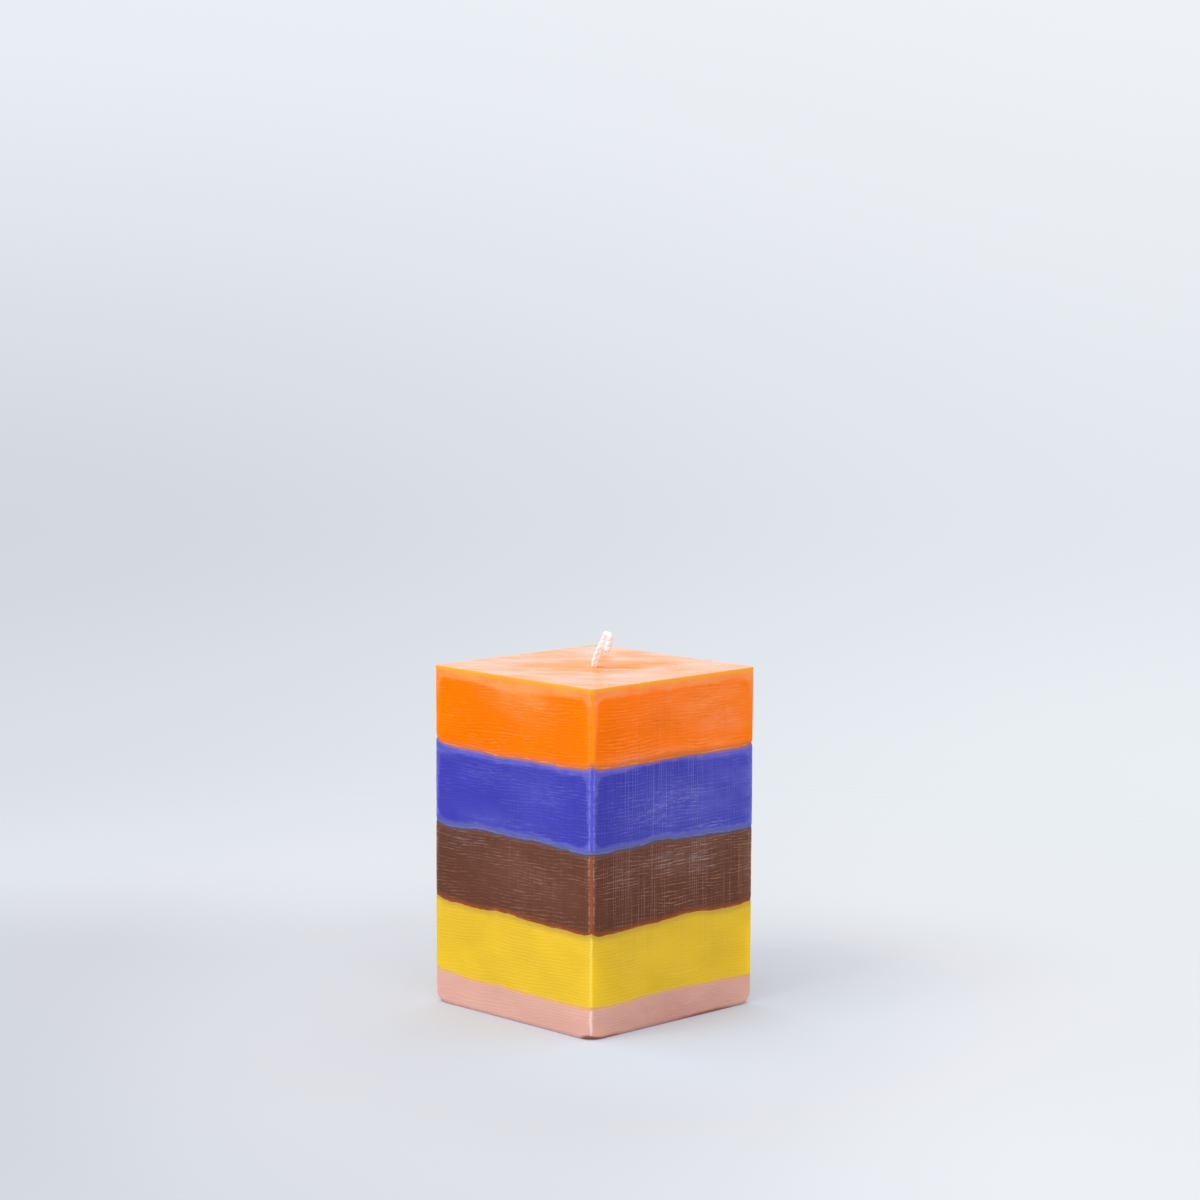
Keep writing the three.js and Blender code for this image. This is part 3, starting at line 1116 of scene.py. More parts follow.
@dataclass
class FootPour(Pour):
    """The lowest pour. It has a rounded foot, and a stepped hole that takes the sustainer."""

    plate_radius: float = 10.3
    plate_top: float = 1.0
    plate_bevel: float = 0.15
    neck_radius: float = 2.15
    neck_top: float = 6.6
    upper_rings: int = 20
    corner_rings: int = 8
    edge_rings: int = 7
    base_shares: tuple[float, ...] = (0.98, 0.9, 0.7, 0.4, 0.12)

    def wall_rings(self) -> Array:
        """Rings down the wall, closer together round the foot."""
        _, high = self.bounds()
        share = np.linspace(1, 0, self.upper_rings)[:-1, None]
        upper = BLOCK.foot_corner_height + share * (high - BLOCK.foot_corner_height)
        bend = np.linspace(BLOCK.foot_corner_height, BLOCK.foot_round_height, self.corner_rings)[:-1]
        edge = BLOCK.foot_round_height * (1 - np.sin(np.linspace(0, np.pi / 2, self.edge_rings)))
        lower = np.concatenate([bend, edge])[:, None] * np.ones(self.walk.shape)
        return self.wall_points(np.concatenate([upper, lower]))

    def under_rings(self, wall: Array) -> Array:
        """Rings across the flat base and up the stepped hole."""
        circle = outward(bearings(wall))
        share = np.array(self.base_shares)[:, None, None]
        base = circle * self.plate_radius + (wall[:, :2] - circle * self.plate_radius) * share
        steps = np.array([
            (self.plate_radius + self.plate_bevel, 0.0), (self.plate_radius, self.plate_bevel),
            (self.plate_radius, self.plate_top), (self.neck_radius, self.plate_top),
            (self.neck_radius, self.neck_top), (BLOCK.bore_radius, self.neck_top)])
        hole = raised(circle * steps[:, 0, None, None], steps[:, 1, None])
        return np.concatenate([raised(base, 0.0), hole])


RIM_CHIPS = ((19.5, 0.55, 0.4), (16.4, 0.4, 0.2), (13.2, 0.7, 0.16), (23.5, 0.5, 0.12), (96, 0.6, 0.3),
             (124, 0.4, 0.25), (171, 0.7, 0.35), (203, 0.4, 0.2), (232, 0.5, 0.12), (262, 0.4, 0.1))


@dataclass
class TopPour(Pour):
    """The highest pour. Its top face runs from the pool's bowl out to the flared, rounded rim.

    Chips are given as (walk, reach, depth). A chip drops the rim by a share of its depth.
    """

    light_through: tuple[float, ...] = (1.0, 1.7, 0.8, 0.8, 0.6, 0.6, 2.0, 1.8)
    top_finish: TopFinish = ORANGE_TOP
    face_rings: int = 60
    rim_rings: int = 7
    chips: tuple[tuple[float, float, float], ...] = RIM_CHIPS
    chip_drop: float = 0.7

    def wall_rings(self) -> Array:
        """Rings over the rounded rim and down the wall, with a few small chips broken out of the rim."""
        low, high = self.bounds()
        turn = np.linspace(0, np.pi / 2, self.rim_rings)[:, None]
        chip = sum(depth * bell(self.walk - walk, reach) for walk, reach, depth in self.chips)
        rim = self.wall_points(high - BLOCK.rim_round * (1 - np.cos(turn)) - chip * self.chip_drop)
        _, normals = BLOCK.outline(self.walk, BLOCK.corner_radius, 0.0)
        rim[..., :2] -= normals * (BLOCK.rim_round * (1 - np.sin(turn)) + chip)[..., None]
        share = crowded(np.linspace(1, 0, self.rows)[1:, None], 0.5)
        below = high - BLOCK.rim_round - chip * self.chip_drop
        return np.concatenate([rim, self.wall_points(low + share * (below - low))])

    def over_rings(self, wall: Array) -> Array:
        """Rings of the bowl under the pool, then of the top face out to the rim."""
        bearing = bearings(wall)
        inner = outward(bearing) * POOL.edge(bearing)[:, None]
        even = np.linspace(0, 1, self.face_rings, endpoint=False)[1:] ** 0.85
        share = np.concatenate([[0, 0.006], even])[:, None]
        flat = inner + (wall[:, :2] - inner) * share[..., None]
        settle = smoothstep(share, 0.93, 1.0)
        face = raised(flat, top_surface(flat) * (1 - settle) + wall[:, 2] * settle)
        return np.concatenate([POOL.under_points(bearing)[::-1], face])

    def marks(self, rings: Array) -> dict[str, Array]:
        """Add what the top face's shader reads: the distance in from the rim, and where clear orange and the
        wick's painted shadow show.
        """
        reach = np.maximum(np.abs(rings[..., 0]), np.abs(rings[..., 1]))
        return super().marks(rings) | {"rim_gap": BLOCK.width / 2 - reach, "fresh": clear_and_shadow_marks(rings[..., :2])}

    def dress_more(self, piece: bpy.types.Object, paint: WaxPaint, over_rings: int) -> None:
        """Give the bowl and the top face their own material."""
        piece.data.materials.append(paint.material(f"{self.slot} top", self.top_finish))
        material = np.zeros(len(piece.data.polygons), dtype=np.int32)
        material[:(over_rings + 1) * len(self.walk)] = 1
        piece.data.polygons.foreach_set("material_index", material)


def lean_axes(flat: Array) -> tuple[Array, Array]:
    """Distances along and across the wick's lean, which follows the block's diagonal."""
    x, y = flat[..., 0], flat[..., 1]
    return (x - y) * math.sqrt(0.5), (x + y) * math.sqrt(0.5)


def top_surface(flat: Array) -> Array:
    """Height of the top face: its dish, with shallow waves that fade out towards the rim."""
    along, across = lean_axes(flat)
    wave = Grain(71, 64).at(along / 13 + 20, across / 5 + 20)
    wave = wave + 0.5 * Grain(72, 64).at(along / 6 + 20, across / 2.6 + 20)
    rim_gap = BLOCK.width / 2 - np.abs(flat).max(axis=-1)
    return BLOCK.top(np.hypot(along, across)) + 0.07 * wave * smoothstep(rim_gap, 0.0, 5.0)


@dataclass(frozen=True)
class TopPatch:
    """A soft oval on the top face, placed along and across the wick's lean. A positive strength shows clear
    orange, and past 1 paints the wick's shadow; a negative strength is paler, a painted sheen.
    """

    along: float
    across: float
    reach_along: float
    reach_across: float
    strength: float


# Ovals of clear orange and of painted sheen; those at (7, -1.4), (12, -3) and (1.8, 0.5) paint the wick's
# shadow and the shade at its foot.
TOP_PATCHES = (
    TopPatch(-19, 2, 6, 5, 0.5), TopPatch(-8, 1, 6, 5, 0.55), TopPatch(-1, -8, 11, 6, 0.7),
    TopPatch(18, 9, 9, 5, 0.6), TopPatch(10, 4, 7, 3, 0.8), TopPatch(11, 23, 6, 5, 0.5),
    TopPatch(7, -1.4, 7, 1.5, 2.4), TopPatch(24, -7, 4, 4, 0.4), TopPatch(9, 17, 11, 2.4, -0.5),
    TopPatch(17, -8, 5, 2.6, -0.8), TopPatch(8, -20, 12, 6, -0.9), TopPatch(-19, -10, 1.6, 1.2, -1.0),
    TopPatch(-30, 0, 8, 12, -0.4), TopPatch(0, 34, 4, 8, -0.8), TopPatch(-7, 11, 6, 6, 0.25),
    TopPatch(22, 13, 5, 5, 0.3), TopPatch(8, 28, 4, 4, 0.35), TopPatch(-7, 28, 3.5, 4, 0.3),
    TopPatch(-22, 19, 4, 5, -0.25), TopPatch(-35, 8, 4, 4, 0.15), TopPatch(-33, -8, 5, 4, -0.2),
    TopPatch(14, -15, 5, 4, -0.5), TopPatch(-9, -28, 6, 5, -0.6), TopPatch(12, -31, 6, 4, 0.2),
    TopPatch(12, -3, 4, 1.8, 1.0), TopPatch(1.8, 0.5, 1.2, 1.5, 1.0), TopPatch(2.5, 18, 2.2, 9, 1.2),
    TopPatch(-4, 11, 22, 6, 0.16), TopPatch(-20, -8, 9, 9, 0.25), TopPatch(0, -18, 9, 5, 0.2),
    TopPatch(-1, 28, 2.5, 4, -0.2), TopPatch(0, 7.5, 3, 2, -0.3),
)


def clear_and_shadow_marks(flat: Array) -> Array:
    """How much clear orange shows on the top face; past 1 it is the wick's painted shadow.

    Args:
        flat: Positions on the top face, with x and y on the last axis.

    Returns:
        The sum of the patches' bell curves, from -1 where the skin is palest, a painted sheen, to 2.
    """
    along, across = lean_axes(flat)
    total = np.zeros(along.shape)
    for patch in TOP_PATCHES:
        oval = bell(along - patch.along, patch.reach_along) * bell(across - patch.across, patch.reach_across)
        total = total + patch.strength * oval
    return np.clip(total, -1, 2)


@dataclass(frozen=True)
class Pool:
    """The second pour that fills the sink round the wick. Its wax climbs the wick a little.

    Round the wick its face dips, and at its edge it is creased.
    """

    radius: float = 20.5
    depth: float = 2.6
    edge_depth: float = 0.5
    wick_radius: float = 1.02
    climb: float = 0.3
    dip: float = 0.12
    crease: float = 0.008
    rings: int = 46
    around: int = 240

    def edge(self, bearing: Array) -> Array:
        """Distance of the pool's edge from the wick. It is longest along the wick's lean and it wanders."""
        turn = bearing - math.radians(Wick.lean_heading)
        oval = 0.09 * np.cos(turn) + 0.16 * np.cos(2 * turn)
        wander = 0.03 * np.cos(3 * bearing + 0.4) + 0.025 * np.cos(5 * bearing + 2)
        return self.radius * (1 + oval + wander)

    def under_points(self, bearing: Array) -> Array:
        """Rings of the pool's bowl from its edge in to the bore, deepest at the wick as a square law."""
        edge = self.edge(bearing)
        share = np.array([1.0, 0.7, 0.35, 0.0])[:, None]
        distance = BLOCK.bore_radius + share * (edge - BLOCK.bore_radius)
        sunk = (self.depth - self.edge_depth) * (1 - (distance / edge) ** 2)
        return raised(outward(bearing) * distance[..., None], BLOCK.top(distance) - self.edge_depth - sunk)

    def over_points(self, bearing: Array) -> Array:
        """Rings of the pool's top from the wick out to its edge."""
        edge = self.edge(bearing)
        share = np.append(np.linspace(0, 0.995, self.rings) ** 1.5, 1)[:, None]
        distance = self.wick_radius + share * (edge - self.wick_radius)
        flat = outward(bearing) * distance[..., None]
        collar = self.climb * np.exp(-(distance - self.wick_radius) / 0.7)
        sunk = self.dip * bell(distance - 5, 3.0) + self.crease * bell(distance - edge, 0.6)
        return raised(flat, top_surface(flat) + collar - sunk)

    def build(self, paint: WaxPaint) -> bpy.types.Object:
        """Make the pool's closed mesh, dress it and let it stand for its node."""
        bearing = np.linspace(0, 2 * np.pi, self.around, endpoint=False)
        rings = np.concatenate([self.over_points(bearing), self.under_points(bearing)])
        marks = {"rim_gap": self.edge(bearing) - np.hypot(rings[..., 0], rings[..., 1]) + 0.8,
                 "fresh": clear_and_shadow_marks(rings[..., :2])}
        wax = paint.material("pool_wax top", POOL_TOP)
        piece = Mesh.from_rings(rings, marks).piece("top_up_pool_skin", wax)
        return hold(piece, "top_up_pool")


POOL = Pool()


# The wick


def catmull_rom(points: Array, per_span: int) -> Array:
    """Pass a smooth centripetal curve through points, by Barry and Goldman's pyramid of straight blends.

    Args:
        points: The points to pass through.
        per_span: How many steps to take between neighbouring points.

    Returns:
        Points along the curve.
    """
    ends = np.concatenate([[2 * points[0] - points[1]], points, [2 * points[-1] - points[-2]]])
    found = []
    for p0, p1, p2, p3 in zip(ends[:-3], ends[1:-2], ends[2:-1], ends[3:]):
        t0 = 0.0
        t1 = t0 + np.linalg.norm(p1 - p0) ** 0.5
        t2 = t1 + np.linalg.norm(p2 - p1) ** 0.5
        t3 = t2 + np.linalg.norm(p3 - p2) ** 0.5
        t = np.linspace(t1, t2, per_span, endpoint=False)[:, None]
        a1 = (t1 - t) / (t1 - t0) * p0 + (t - t0) / (t1 - t0) * p1
        a2 = (t2 - t) / (t2 - t1) * p1 + (t - t1) / (t2 - t1) * p2
        a3 = (t3 - t) / (t3 - t2) * p2 + (t - t2) / (t3 - t2) * p3
        b1 = (t2 - t) / (t2 - t0) * a1 + (t - t0) / (t2 - t0) * a2
        b2 = (t3 - t) / (t3 - t1) * a2 + (t - t1) / (t3 - t1) * a3
        found.append((t2 - t) / (t2 - t1) * b1 + (t - t1) / (t2 - t1) * b2)
    return np.concatenate(found + [points[-1:]])


def travelled(points: Array) -> Array:
    """Distance travelled along a polyline at each of its points."""
    return np.concatenate([[0], np.cumsum(np.linalg.norm(np.diff(points, axis=0), axis=1))])


def spaced(points: Array, step: float) -> Array:
    """Space points evenly along a polyline, a step apart."""
    lengths = travelled(points)
    wanted = np.linspace(0, lengths[-1], max(2, round(lengths[-1] / step)))
    return np.stack([np.interp(wanted, lengths, points[:, axis]) for axis in range(3)], axis=-1)


def unit(vectors: Array) -> Array:
    """Scale vectors on the last axis to a length of 1."""
    return vectors / np.linalg.norm(vectors, axis=-1, keepdims=True)


def heading(degrees: float) -> Array:
    """A level direction at a heading from +X."""
    angle = math.radians(degrees)
    return np.array([math.cos(angle), math.sin(angle), 0.0])


@dataclass(frozen=True)
class Carried:
    """A path with a pair of side vectors carried along it without twist."""

    points: Array
    tangents: Array
    side: Array
    front: Array

    @classmethod
    def along(cls, points: Array, first_side: Array) -> Carried:
        """Carry side vectors along a path.

        Args:
            points: Points along the path.
            first_side: A direction that the side vector starts near.

        Returns:
            The path with its vectors.
        """
        tangents = unit(np.gradient(points, axis=0))
        sides = np.zeros(points.shape)
        side = first_side
        for i, tangent in enumerate(tangents):
            side = unit(side - tangent * (side @ tangent))
            sides[i] = side
        return cls(points, tangents, sides, np.cross(tangents, sides))

    def spread(self, at: Array | int, sideways: Array, forwards: Array) -> Array:
        """Vectors across the path at chosen points, from their two distances."""
        return self.side[at] * sideways[:, None] + self.front[at] * forwards[:, None]


@dataclass(frozen=True)
class Wick:
    """A plait of three soft strands with loose fibres. It leans over, and its tip is folded into a hook.

    The stem and the tail are given as (distance along the lean, height). The fibres are short fuzz along the
    stem, frayed ends at the cut and a few longer ones that trail from it.
    """

    lean_heading: float = -44.4
    hook_twist: float = 49.0
    hook_radius: float = 1.0
    hook_height: float = 9.2
    hook_out: float = 3.45
    stem: tuple[tuple[float, float], ...] = (
        (0, -3), (0, 0), (0.1, 1.1), (0.45, 2.5), (1.1, 4.2), (1.95, 6.1), (2.8, 7.7))
    tail: tuple[tuple[float, float], ...] = ((-0.25, -1.3), (-0.6, -2.6), (-1.0, -3.9))
    bottom: float = 0.5
    pitch: float = 5.6
    swing: float = 0.5
    weave: float = 0.15
    strand_radius: float = 0.78
    yarns: int = 6
    yarn_pitch: float = 4.2
    yarn_depth: float = 0.04
    unevenness: float = 0.06
    wax_thinning: float = 0.84
    sides: int = 24
    step: float = 0.13
    fuzz: int = 420
    frayed: int = 90
    trailing: int = 16
    fibre_radius: float = 0.022
    seed: int = 7

    def route(self) -> Array:
        """Points along the wick's middle, up through the wax, over the hook and down the tail."""
        lean = heading(self.lean_heading)
        across = heading(self.lean_heading - self.hook_twist)
        up = np.array([0.0, 0.0, 1.0])
        base = up * float(BLOCK.top(np.array(0.0)))
        stem = [base + lean * out + up * height for out, height in self.stem]
        turn = np.linspace(0, np.pi, 7)[:, None]
        start = base + lean * self.hook_out + up * self.hook_height
        hook = start + across * self.hook_radius * (1 - np.cos(turn)) + up * self.hook_radius * np.sin(turn)
        end = start + across * 2 * self.hook_radius
        tail = [end + lean * out + up * height for out, height in self.tail]
        curve = catmull_rom(np.concatenate([stem, hook, tail]), 24)
        buried = up * np.array([[self.bottom], [curve[0, 2] - 0.4]])
        return spaced(np.concatenate([buried, curve]), self.step)

    def strand(self, path: Carried, number: int) -> Mesh:
        """Make one strand of the plait.

        It swings from side to side as a sine and passes over and under at twice that rate. Its own yarns show
        as shallow ridges that wind round it. It is thinner in the wax and opens up towards the tip.

        Args:
            path: The wick's middle.
            number: Which of the three strands this is.

        Returns:
            The strand, with each point's sideways distance from the wick's middle as its mark.
        """
        travel = travelled(path.points)
        tip = travel[-1]
        phase = 2 * np.pi * (travel / self.pitch + number / 3)
        tuck = 1 - 0.45 * smoothstep(travel, tip - 0.6, tip)
        sway = path.side * (self.swing * np.sin(phase) * tuck)[:, None]
        middle = path.points + sway + path.front * (self.weave * np.sin(2 * phase) * tuck)[:, None]
        tangent = unit(np.gradient(middle, axis=0))
        up = unit(path.front - tangent * np.sum(path.front * tangent, axis=1, keepdims=True))
        out = np.cross(tangent, up)
        angle = np.linspace(0, 2 * np.pi, self.sides, endpoint=False)
        twist = 2 * np.pi * travel / self.yarn_pitch + number
        uneven = Grain(self.seed + number, 64).at(travel / 1.3, 0.0)
        leaves_wax = BLOCK.height - self.bottom
        opened = self.wax_thinning + 0.2 * smoothstep(travel, leaves_wax + 0.5, leaves_wax + 4)
        opened = opened + 0.1 * smoothstep(travel, tip - 9, tip - 4)
        ridges = 1 + self.yarn_depth * np.cos(self.yarns * (angle + twist[:, None]))
        radius = (self.strand_radius * opened * (1 + self.unevenness * uneven))[:, None] * ridges
        circle = out[:, None] * np.cos(angle)[:, None] + up[:, None] * np.sin(angle)[:, None]
        rings = middle[:, None] + radius[..., None] * circle
        aside = np.abs(np.sum((rings - path.points[:, None]) * path.side[:, None], axis=-1))
        mesh = Mesh.from_rings(rings, {"aside": aside}, closed=False)
        mesh.faces.extend(self.caps(len(rings)))
        around, along = np.meshgrid(np.linspace(0, 1, self.sides), np.arange(len(rings)) * self.step)
        mesh.uv = np.stack([around.ravel(), along.ravel()], axis=-1)
        return mesh

    def caps(self, rings: int) -> list[list[int]]:
        """Close a strand's two ends with fans of triangles."""
        last = (rings - 1) * self.sides
        fan = range(1, self.sides - 1)
        return [[0, k, k + 1] for k in fan] + [[last, last + k + 1, last + k] for k in fan]

    def fibres(self, path: Carried) -> list[Mesh]:
        """Make the loose fibres: thin three-sided tubes that bend as the square of their length.

        Args:
            path: The wick's middle.

        Returns:
            One mesh for each fibre.
        """
        rng = np.random.default_rng(self.seed)
        out_of_wax = np.flatnonzero(path.points[:, 2] > BLOCK.height + 0.6)
        at = rng.choice(out_of_wax[out_of_wax > len(path.points) * 0.5], self.fuzz)
        around = rng.uniform(0, 2 * np.pi, self.fuzz)
        away = path.spread(at, np.cos(around), np.sin(around))
        starts = [path.points[at] + away * rng.uniform(0.7, 0.95, self.fuzz)[:, None]]
        aims = [away * rng.uniform(0.25, 0.8, self.fuzz)[:, None]
                + path.tangents[at] * rng.normal(0, 0.8, self.fuzz)[:, None]]
        reaches = [rng.uniform(0.25, 0.9, self.fuzz)]

        frayed = path.spread(-1, *rng.normal(0, 0.36, (self.frayed, 2)).T)
        starts.append(path.points[-1] + frayed)
        aims.append(path.tangents[-1] + frayed * 0.9)
        reaches.append(rng.uniform(0.3, 1.1, self.frayed))

        starts.append(path.points[-1] + path.spread(-1, *rng.normal(0, 0.3, (self.trailing, 2)).T))
        back = heading(self.lean_heading) * rng.uniform(0.25, 0.75, self.trailing)[:, None]
        aims.append(np.array([0, 0, -1.0]) - back)
        reaches.append(rng.uniform(1.4, 3.1, self.trailing))

        start, aim = np.concatenate(starts), unit(np.concatenate(aims))
        length = np.concatenate(reaches)[:, None, None]
        curl = rng.normal(0, 0.35, start.shape)
        share = np.linspace(0, 1, 6)[:, None]
        line = start[:, None] + (aim[:, None] * share + curl[:, None] * share ** 2) * length
        first = unit(np.cross(aim, unit(rng.normal(0, 1, aim.shape))))
        second = np.cross(aim, first)
        angle = np.linspace(0, 2 * np.pi, 3, endpoint=False)[:, None]
        circle = first[:, None, None] * np.cos(angle) + second[:, None, None] * np.sin(angle)
        thin = self.fibre_radius * (1 - 0.75 * share)
        meshes = []
        for rings in line[:, :, None] + thin[..., None] * circle:
            mesh = Mesh.from_rings(rings, {"aside": np.full(rings.shape[:2], 1.3)}, closed=False)
            mesh.uv = np.zeros((len(mesh.points), 2))
            meshes.append(mesh)
        return meshes

    def build(self) -> bpy.types.Object:
        """Make the plait and its fibres as one mesh, dress it and let it stand for its node."""
        path = Carried.along(self.route(), heading(self.lean_heading))
        strands = [self.strand(path, number) for number in range(3)]
        piece = Mesh.joined(strands + self.fibres(path)).piece("plaited_wick", self.cotton())
        return hold(piece, "wick")

    def cotton(self) -> bpy.types.Material:
        """White cotton, stained by wax near the pool, with painted shade in the hollows between strands."""
        material, graph, shader = new_material("wick_cotton plait")
        place = graph.place()
        height = graph.height(place)
        soaked = height + graph.noise(place, (0.9, 0.9, 0.6)) * -1.6
        low = graph.fall(height, BLOCK.height + 4.0, BLOCK.height + 8.0)
        # Painted shade, tinted peach like light off the wax, in the hollows between strands near the wax.
        groove_shade = graph.fall(graph.mark("aside"), 0.1, 0.5) * low
        colour = graph.mix(low, linear((240, 237, 243)), linear((244, 242, 246)))
        colour = graph.mix(groove_shade, colour, linear((250, 218, 204)))
        stain = graph.fall(soaked, BLOCK.height - 2.2, BLOCK.height - 0.2)
        hairs = graph.noise(graph.node("ShaderNodeUVMap").outputs[0], (34.0, 1.6, 1.0))
        graph.feed(shader, {
            "Base Color": graph.mix(stain, colour, linear((252, 196, 150))),
            "Normal": graph.bump(hairs, 0.04 * MILLIMETRE, 0.2),
            "Roughness": 0.85, "Specular IOR Level": 0.2, "Sheen Weight": 0.25})
        return material


# The sustainer


@dataclass(frozen=True)
class Sustainer:
    """A pressed tin plate with a raised ring, and a neck pinched onto the wick in four places."""

    radius: float = 10.0
    sheet: float = 0.4
    bottom: float = 0.3
    neck_height: float = 6.0
    bore: float = 1.45
    bore_top: float = 3.0
    bevel: float = 0.12
    neck_bevel: float = 0.08
    pinch: float = 0.12
    pinches: int = 4
    around: int = 120

    def profile(self) -> Array:
        """The plate and neck's section as [distance from the middle, height], once round the sheet."""
        low, high = self.bottom, self.bottom + self.sheet
        top = self.bottom + self.neck_height
        outside = self.bore + self.sheet
        bevel, neck_bevel = self.bevel, self.neck_bevel
        bore = [(self.bore, low + 0.15), (self.bore + 0.15, low)]
        ring = [(5.6, low), (6.0, low + bevel), (6.6, low + bevel), (7.0, low)]
        rim = [(self.radius - bevel, low), (self.radius, low + bevel), (self.radius, high - bevel),
               (self.radius - bevel, high)]
        neck = [(outside + 0.3, high), (outside + 0.08, high + 0.1), (outside, high + 0.35)]
        mouth = [(outside, top - neck_bevel), (outside - neck_bevel, top), (self.bore + neck_bevel, top),
                 (self.bore, top - neck_bevel), (self.bore, self.bore_top)]
        return np.array(bore + ring + rim + neck + mouth)

    def build(self) -> bpy.types.Object:
        """Turn the section round the wick, pinch the neck, and dress it."""
        distance, height = self.profile().T[..., None]
        angle = np.linspace(0, 2 * np.pi, self.around, endpoint=False)
        pinched = np.clip(np.cos(self.pinches * angle), 0, 1) ** 2
        distance = distance - self.pinch * smoothstep(height, 3.4, 5.0) * pinched
        rings = raised(outward(angle) * distance[..., None], height)
        piece = Mesh.from_rings(rings).piece("pressed_sustainer", self.tin())
        return hold(piece, "wick_sustainer")

    def tin(self) -> bpy.types.Material:
        """Dull tin with faint rings from the press and small spangles."""
        material, graph, shader = new_material("sustainer_steel tin")
        place = graph.place()
        spangle = graph.node("ShaderNodeTexVoronoi", {"Vector": place, "Scale": 0.9}).outputs["Color"]
        bright = graph.number("ShaderNodeSeparateColor", {0: spangle})
        scratch = graph.noise(place, (3.0, 0.3, 0.3))
        graph.feed(shader, {
            "Base Color": graph.mix(bright, linear((176, 180, 184)), linear((200, 203, 206))),
            "Roughness": graph.noise(place, (0.5, 0.5, 0.5), detail=3.0) * 0.25 + 0.22,
            "Normal": graph.bump(scratch, 0.02 * MILLIMETRE), "Metallic": 1.0})
        return material


# The studio


@dataclass(frozen=True)
class Studio:
    """The camera, a plain pale floor that fades into the background, one soft lamp and even light all round.

    The camera's position and the floor's sizes are millimetres, and the lamp's sizes are metres.
    """

    lens: float = 97.29
    sensor: float = 36.0
    position: Direction = (-692.61, -710.63, 247.54)
    azimuth: float = -44.356
    elevation: float = 6.955
    roll: float = 0.25
    ambient: float = 1.07
    ambient_lean: float = 0.2
    key_power: float = 4.1
    key_size: float = 0.7
    key_distance: float = 1.3
    key_elevation: float = 47.0
    key_forwards: float = 0.58
    key_left: float = 0.81
    key_lift: float = 0.05
    floor_reaches: tuple[float, ...] = (0.0, 100.0, 300.0, 900.0)
    floor_sides: int = 96
    floor_solid: float = 160.0
    floor_gone: float = 520.0

    def axes(self) -> tuple[Vector, Vector, Vector]:
        """The camera's right, up and back directions."""
        a, e, roll = (math.radians(v) for v in (self.azimuth, self.elevation, self.roll))
        back = Vector((math.sin(a) * math.cos(e), -math.cos(a) * math.cos(e), math.sin(e)))
        right = Vector((math.cos(a), math.sin(a), 0))
        up = back.cross(right)
        turned_right = right * math.cos(roll) + up * math.sin(roll)
        turned_up = up * math.cos(roll) - right * math.sin(roll)
        return turned_right, turned_up, back

    def level_axes(self) -> tuple[Vector, Vector]:
        """The camera's right and back directions laid level."""
        right, _, back = self.axes()
        return Vector((right.x, right.y, 0)), Vector((back.x, back.y, 0)).normalized()

    def camera(self) -> None:
        """Put the camera where the photograph was taken from."""
        data = bpy.data.cameras.new("camera")
        data.lens = self.lens
        data.sensor_width = self.sensor
        data.clip_start, data.clip_end = 0.01, 50.0
        camera = bpy.data.objects.new("camera", data)
        bpy.context.scene.collection.objects.link(camera)
        matrix = Matrix(self.axes()).transposed().to_4x4()
        matrix.translation = Vector(self.position) * MILLIMETRE
        camera.matrix_world = matrix
        bpy.context.scene.camera = camera

    def key(self) -> None:
        """Hang one large soft lamp on the left, in front of the candle."""
        right, back = self.level_axes()
        level = (back * self.key_forwards - right * self.key_left).normalized()
        angle = math.radians(self.key_elevation)
        aim = level * math.cos(angle) + Vector((0, 0, math.sin(angle)))
        data = bpy.data.lights.new("key", "AREA")
        data.shape = "DISK"
        data.size = self.key_size
        data.energy = self.key_power
        lamp = bpy.data.objects.new("key", data)
        bpy.context.scene.collection.objects.link(lamp)
        lamp.location = aim * self.key_distance + Vector((0, 0, self.key_lift))
        lamp.rotation_mode = "QUATERNION"
        lamp.rotation_quaternion = aim.to_track_quat("Z", "Y")

    def backdrop(self, graph: Graph, direction: Socket) -> Socket:
        """The backdrop's colour in a direction: paler upwards, downwards and towards the right.

        Args:
            graph: The nodes to add to.
            direction: Where the eye looks.

        Returns:
            The colour.
        """
        right, _, _ = self.axes()
        side = graph.rise(graph.along(direction, tuple(right)), -0.22, 0.22)
        height = graph.height(direction)
        level = graph.mix(side, linear((209, 214, 222)), linear((227, 232, 238)))
        above = graph.mix(side, linear((235, 240, 246)), linear((239, 242, 247)))
        beneath = graph.mix(side, linear((219, 224, 231)), linear((235, 240, 245)))
        level = graph.mix(graph.fall(height, -0.18, -0.085), level, beneath)
        return graph.mix(graph.rise(height, -0.12, 0.09), level, above)

    def world(self) -> None:
        """Light everything evenly, and show the pale backdrop to the camera and in reflections."""
        world = bpy.data.worlds.new("studio")
        world.use_nodes = True
        world.node_tree.nodes.clear()
        bpy.context.scene.world = world
        graph = Graph(world.node_tree)
        direction = graph.node("ShaderNodeTexCoord").outputs["Generated"]
        backdrop = graph.node("ShaderNodeBackground", {"Color": self.backdrop(graph, direction)}).outputs[0]
        right, _, _ = self.axes()
        strength = self.ambient - graph.along(direction, tuple(right)) * (self.ambient * self.ambient_lean)
        light = graph.node("ShaderNodeBackground", {"Color": linear((255, 255, 255)), "Strength": strength})
        rays = graph.node("ShaderNodeLightPath").outputs
        reflected = graph.largest(rays["Is Glossy Ray"], rays["Is Transmission Ray"])
        seen = graph.largest(reflected, rays["Is Camera Ray"])
        mixed = graph.node("ShaderNodeMixShader", {0: seen, 1: light.outputs[0], 2: backdrop})
        graph.node("ShaderNodeOutputWorld", {0: mixed.outputs[0]})

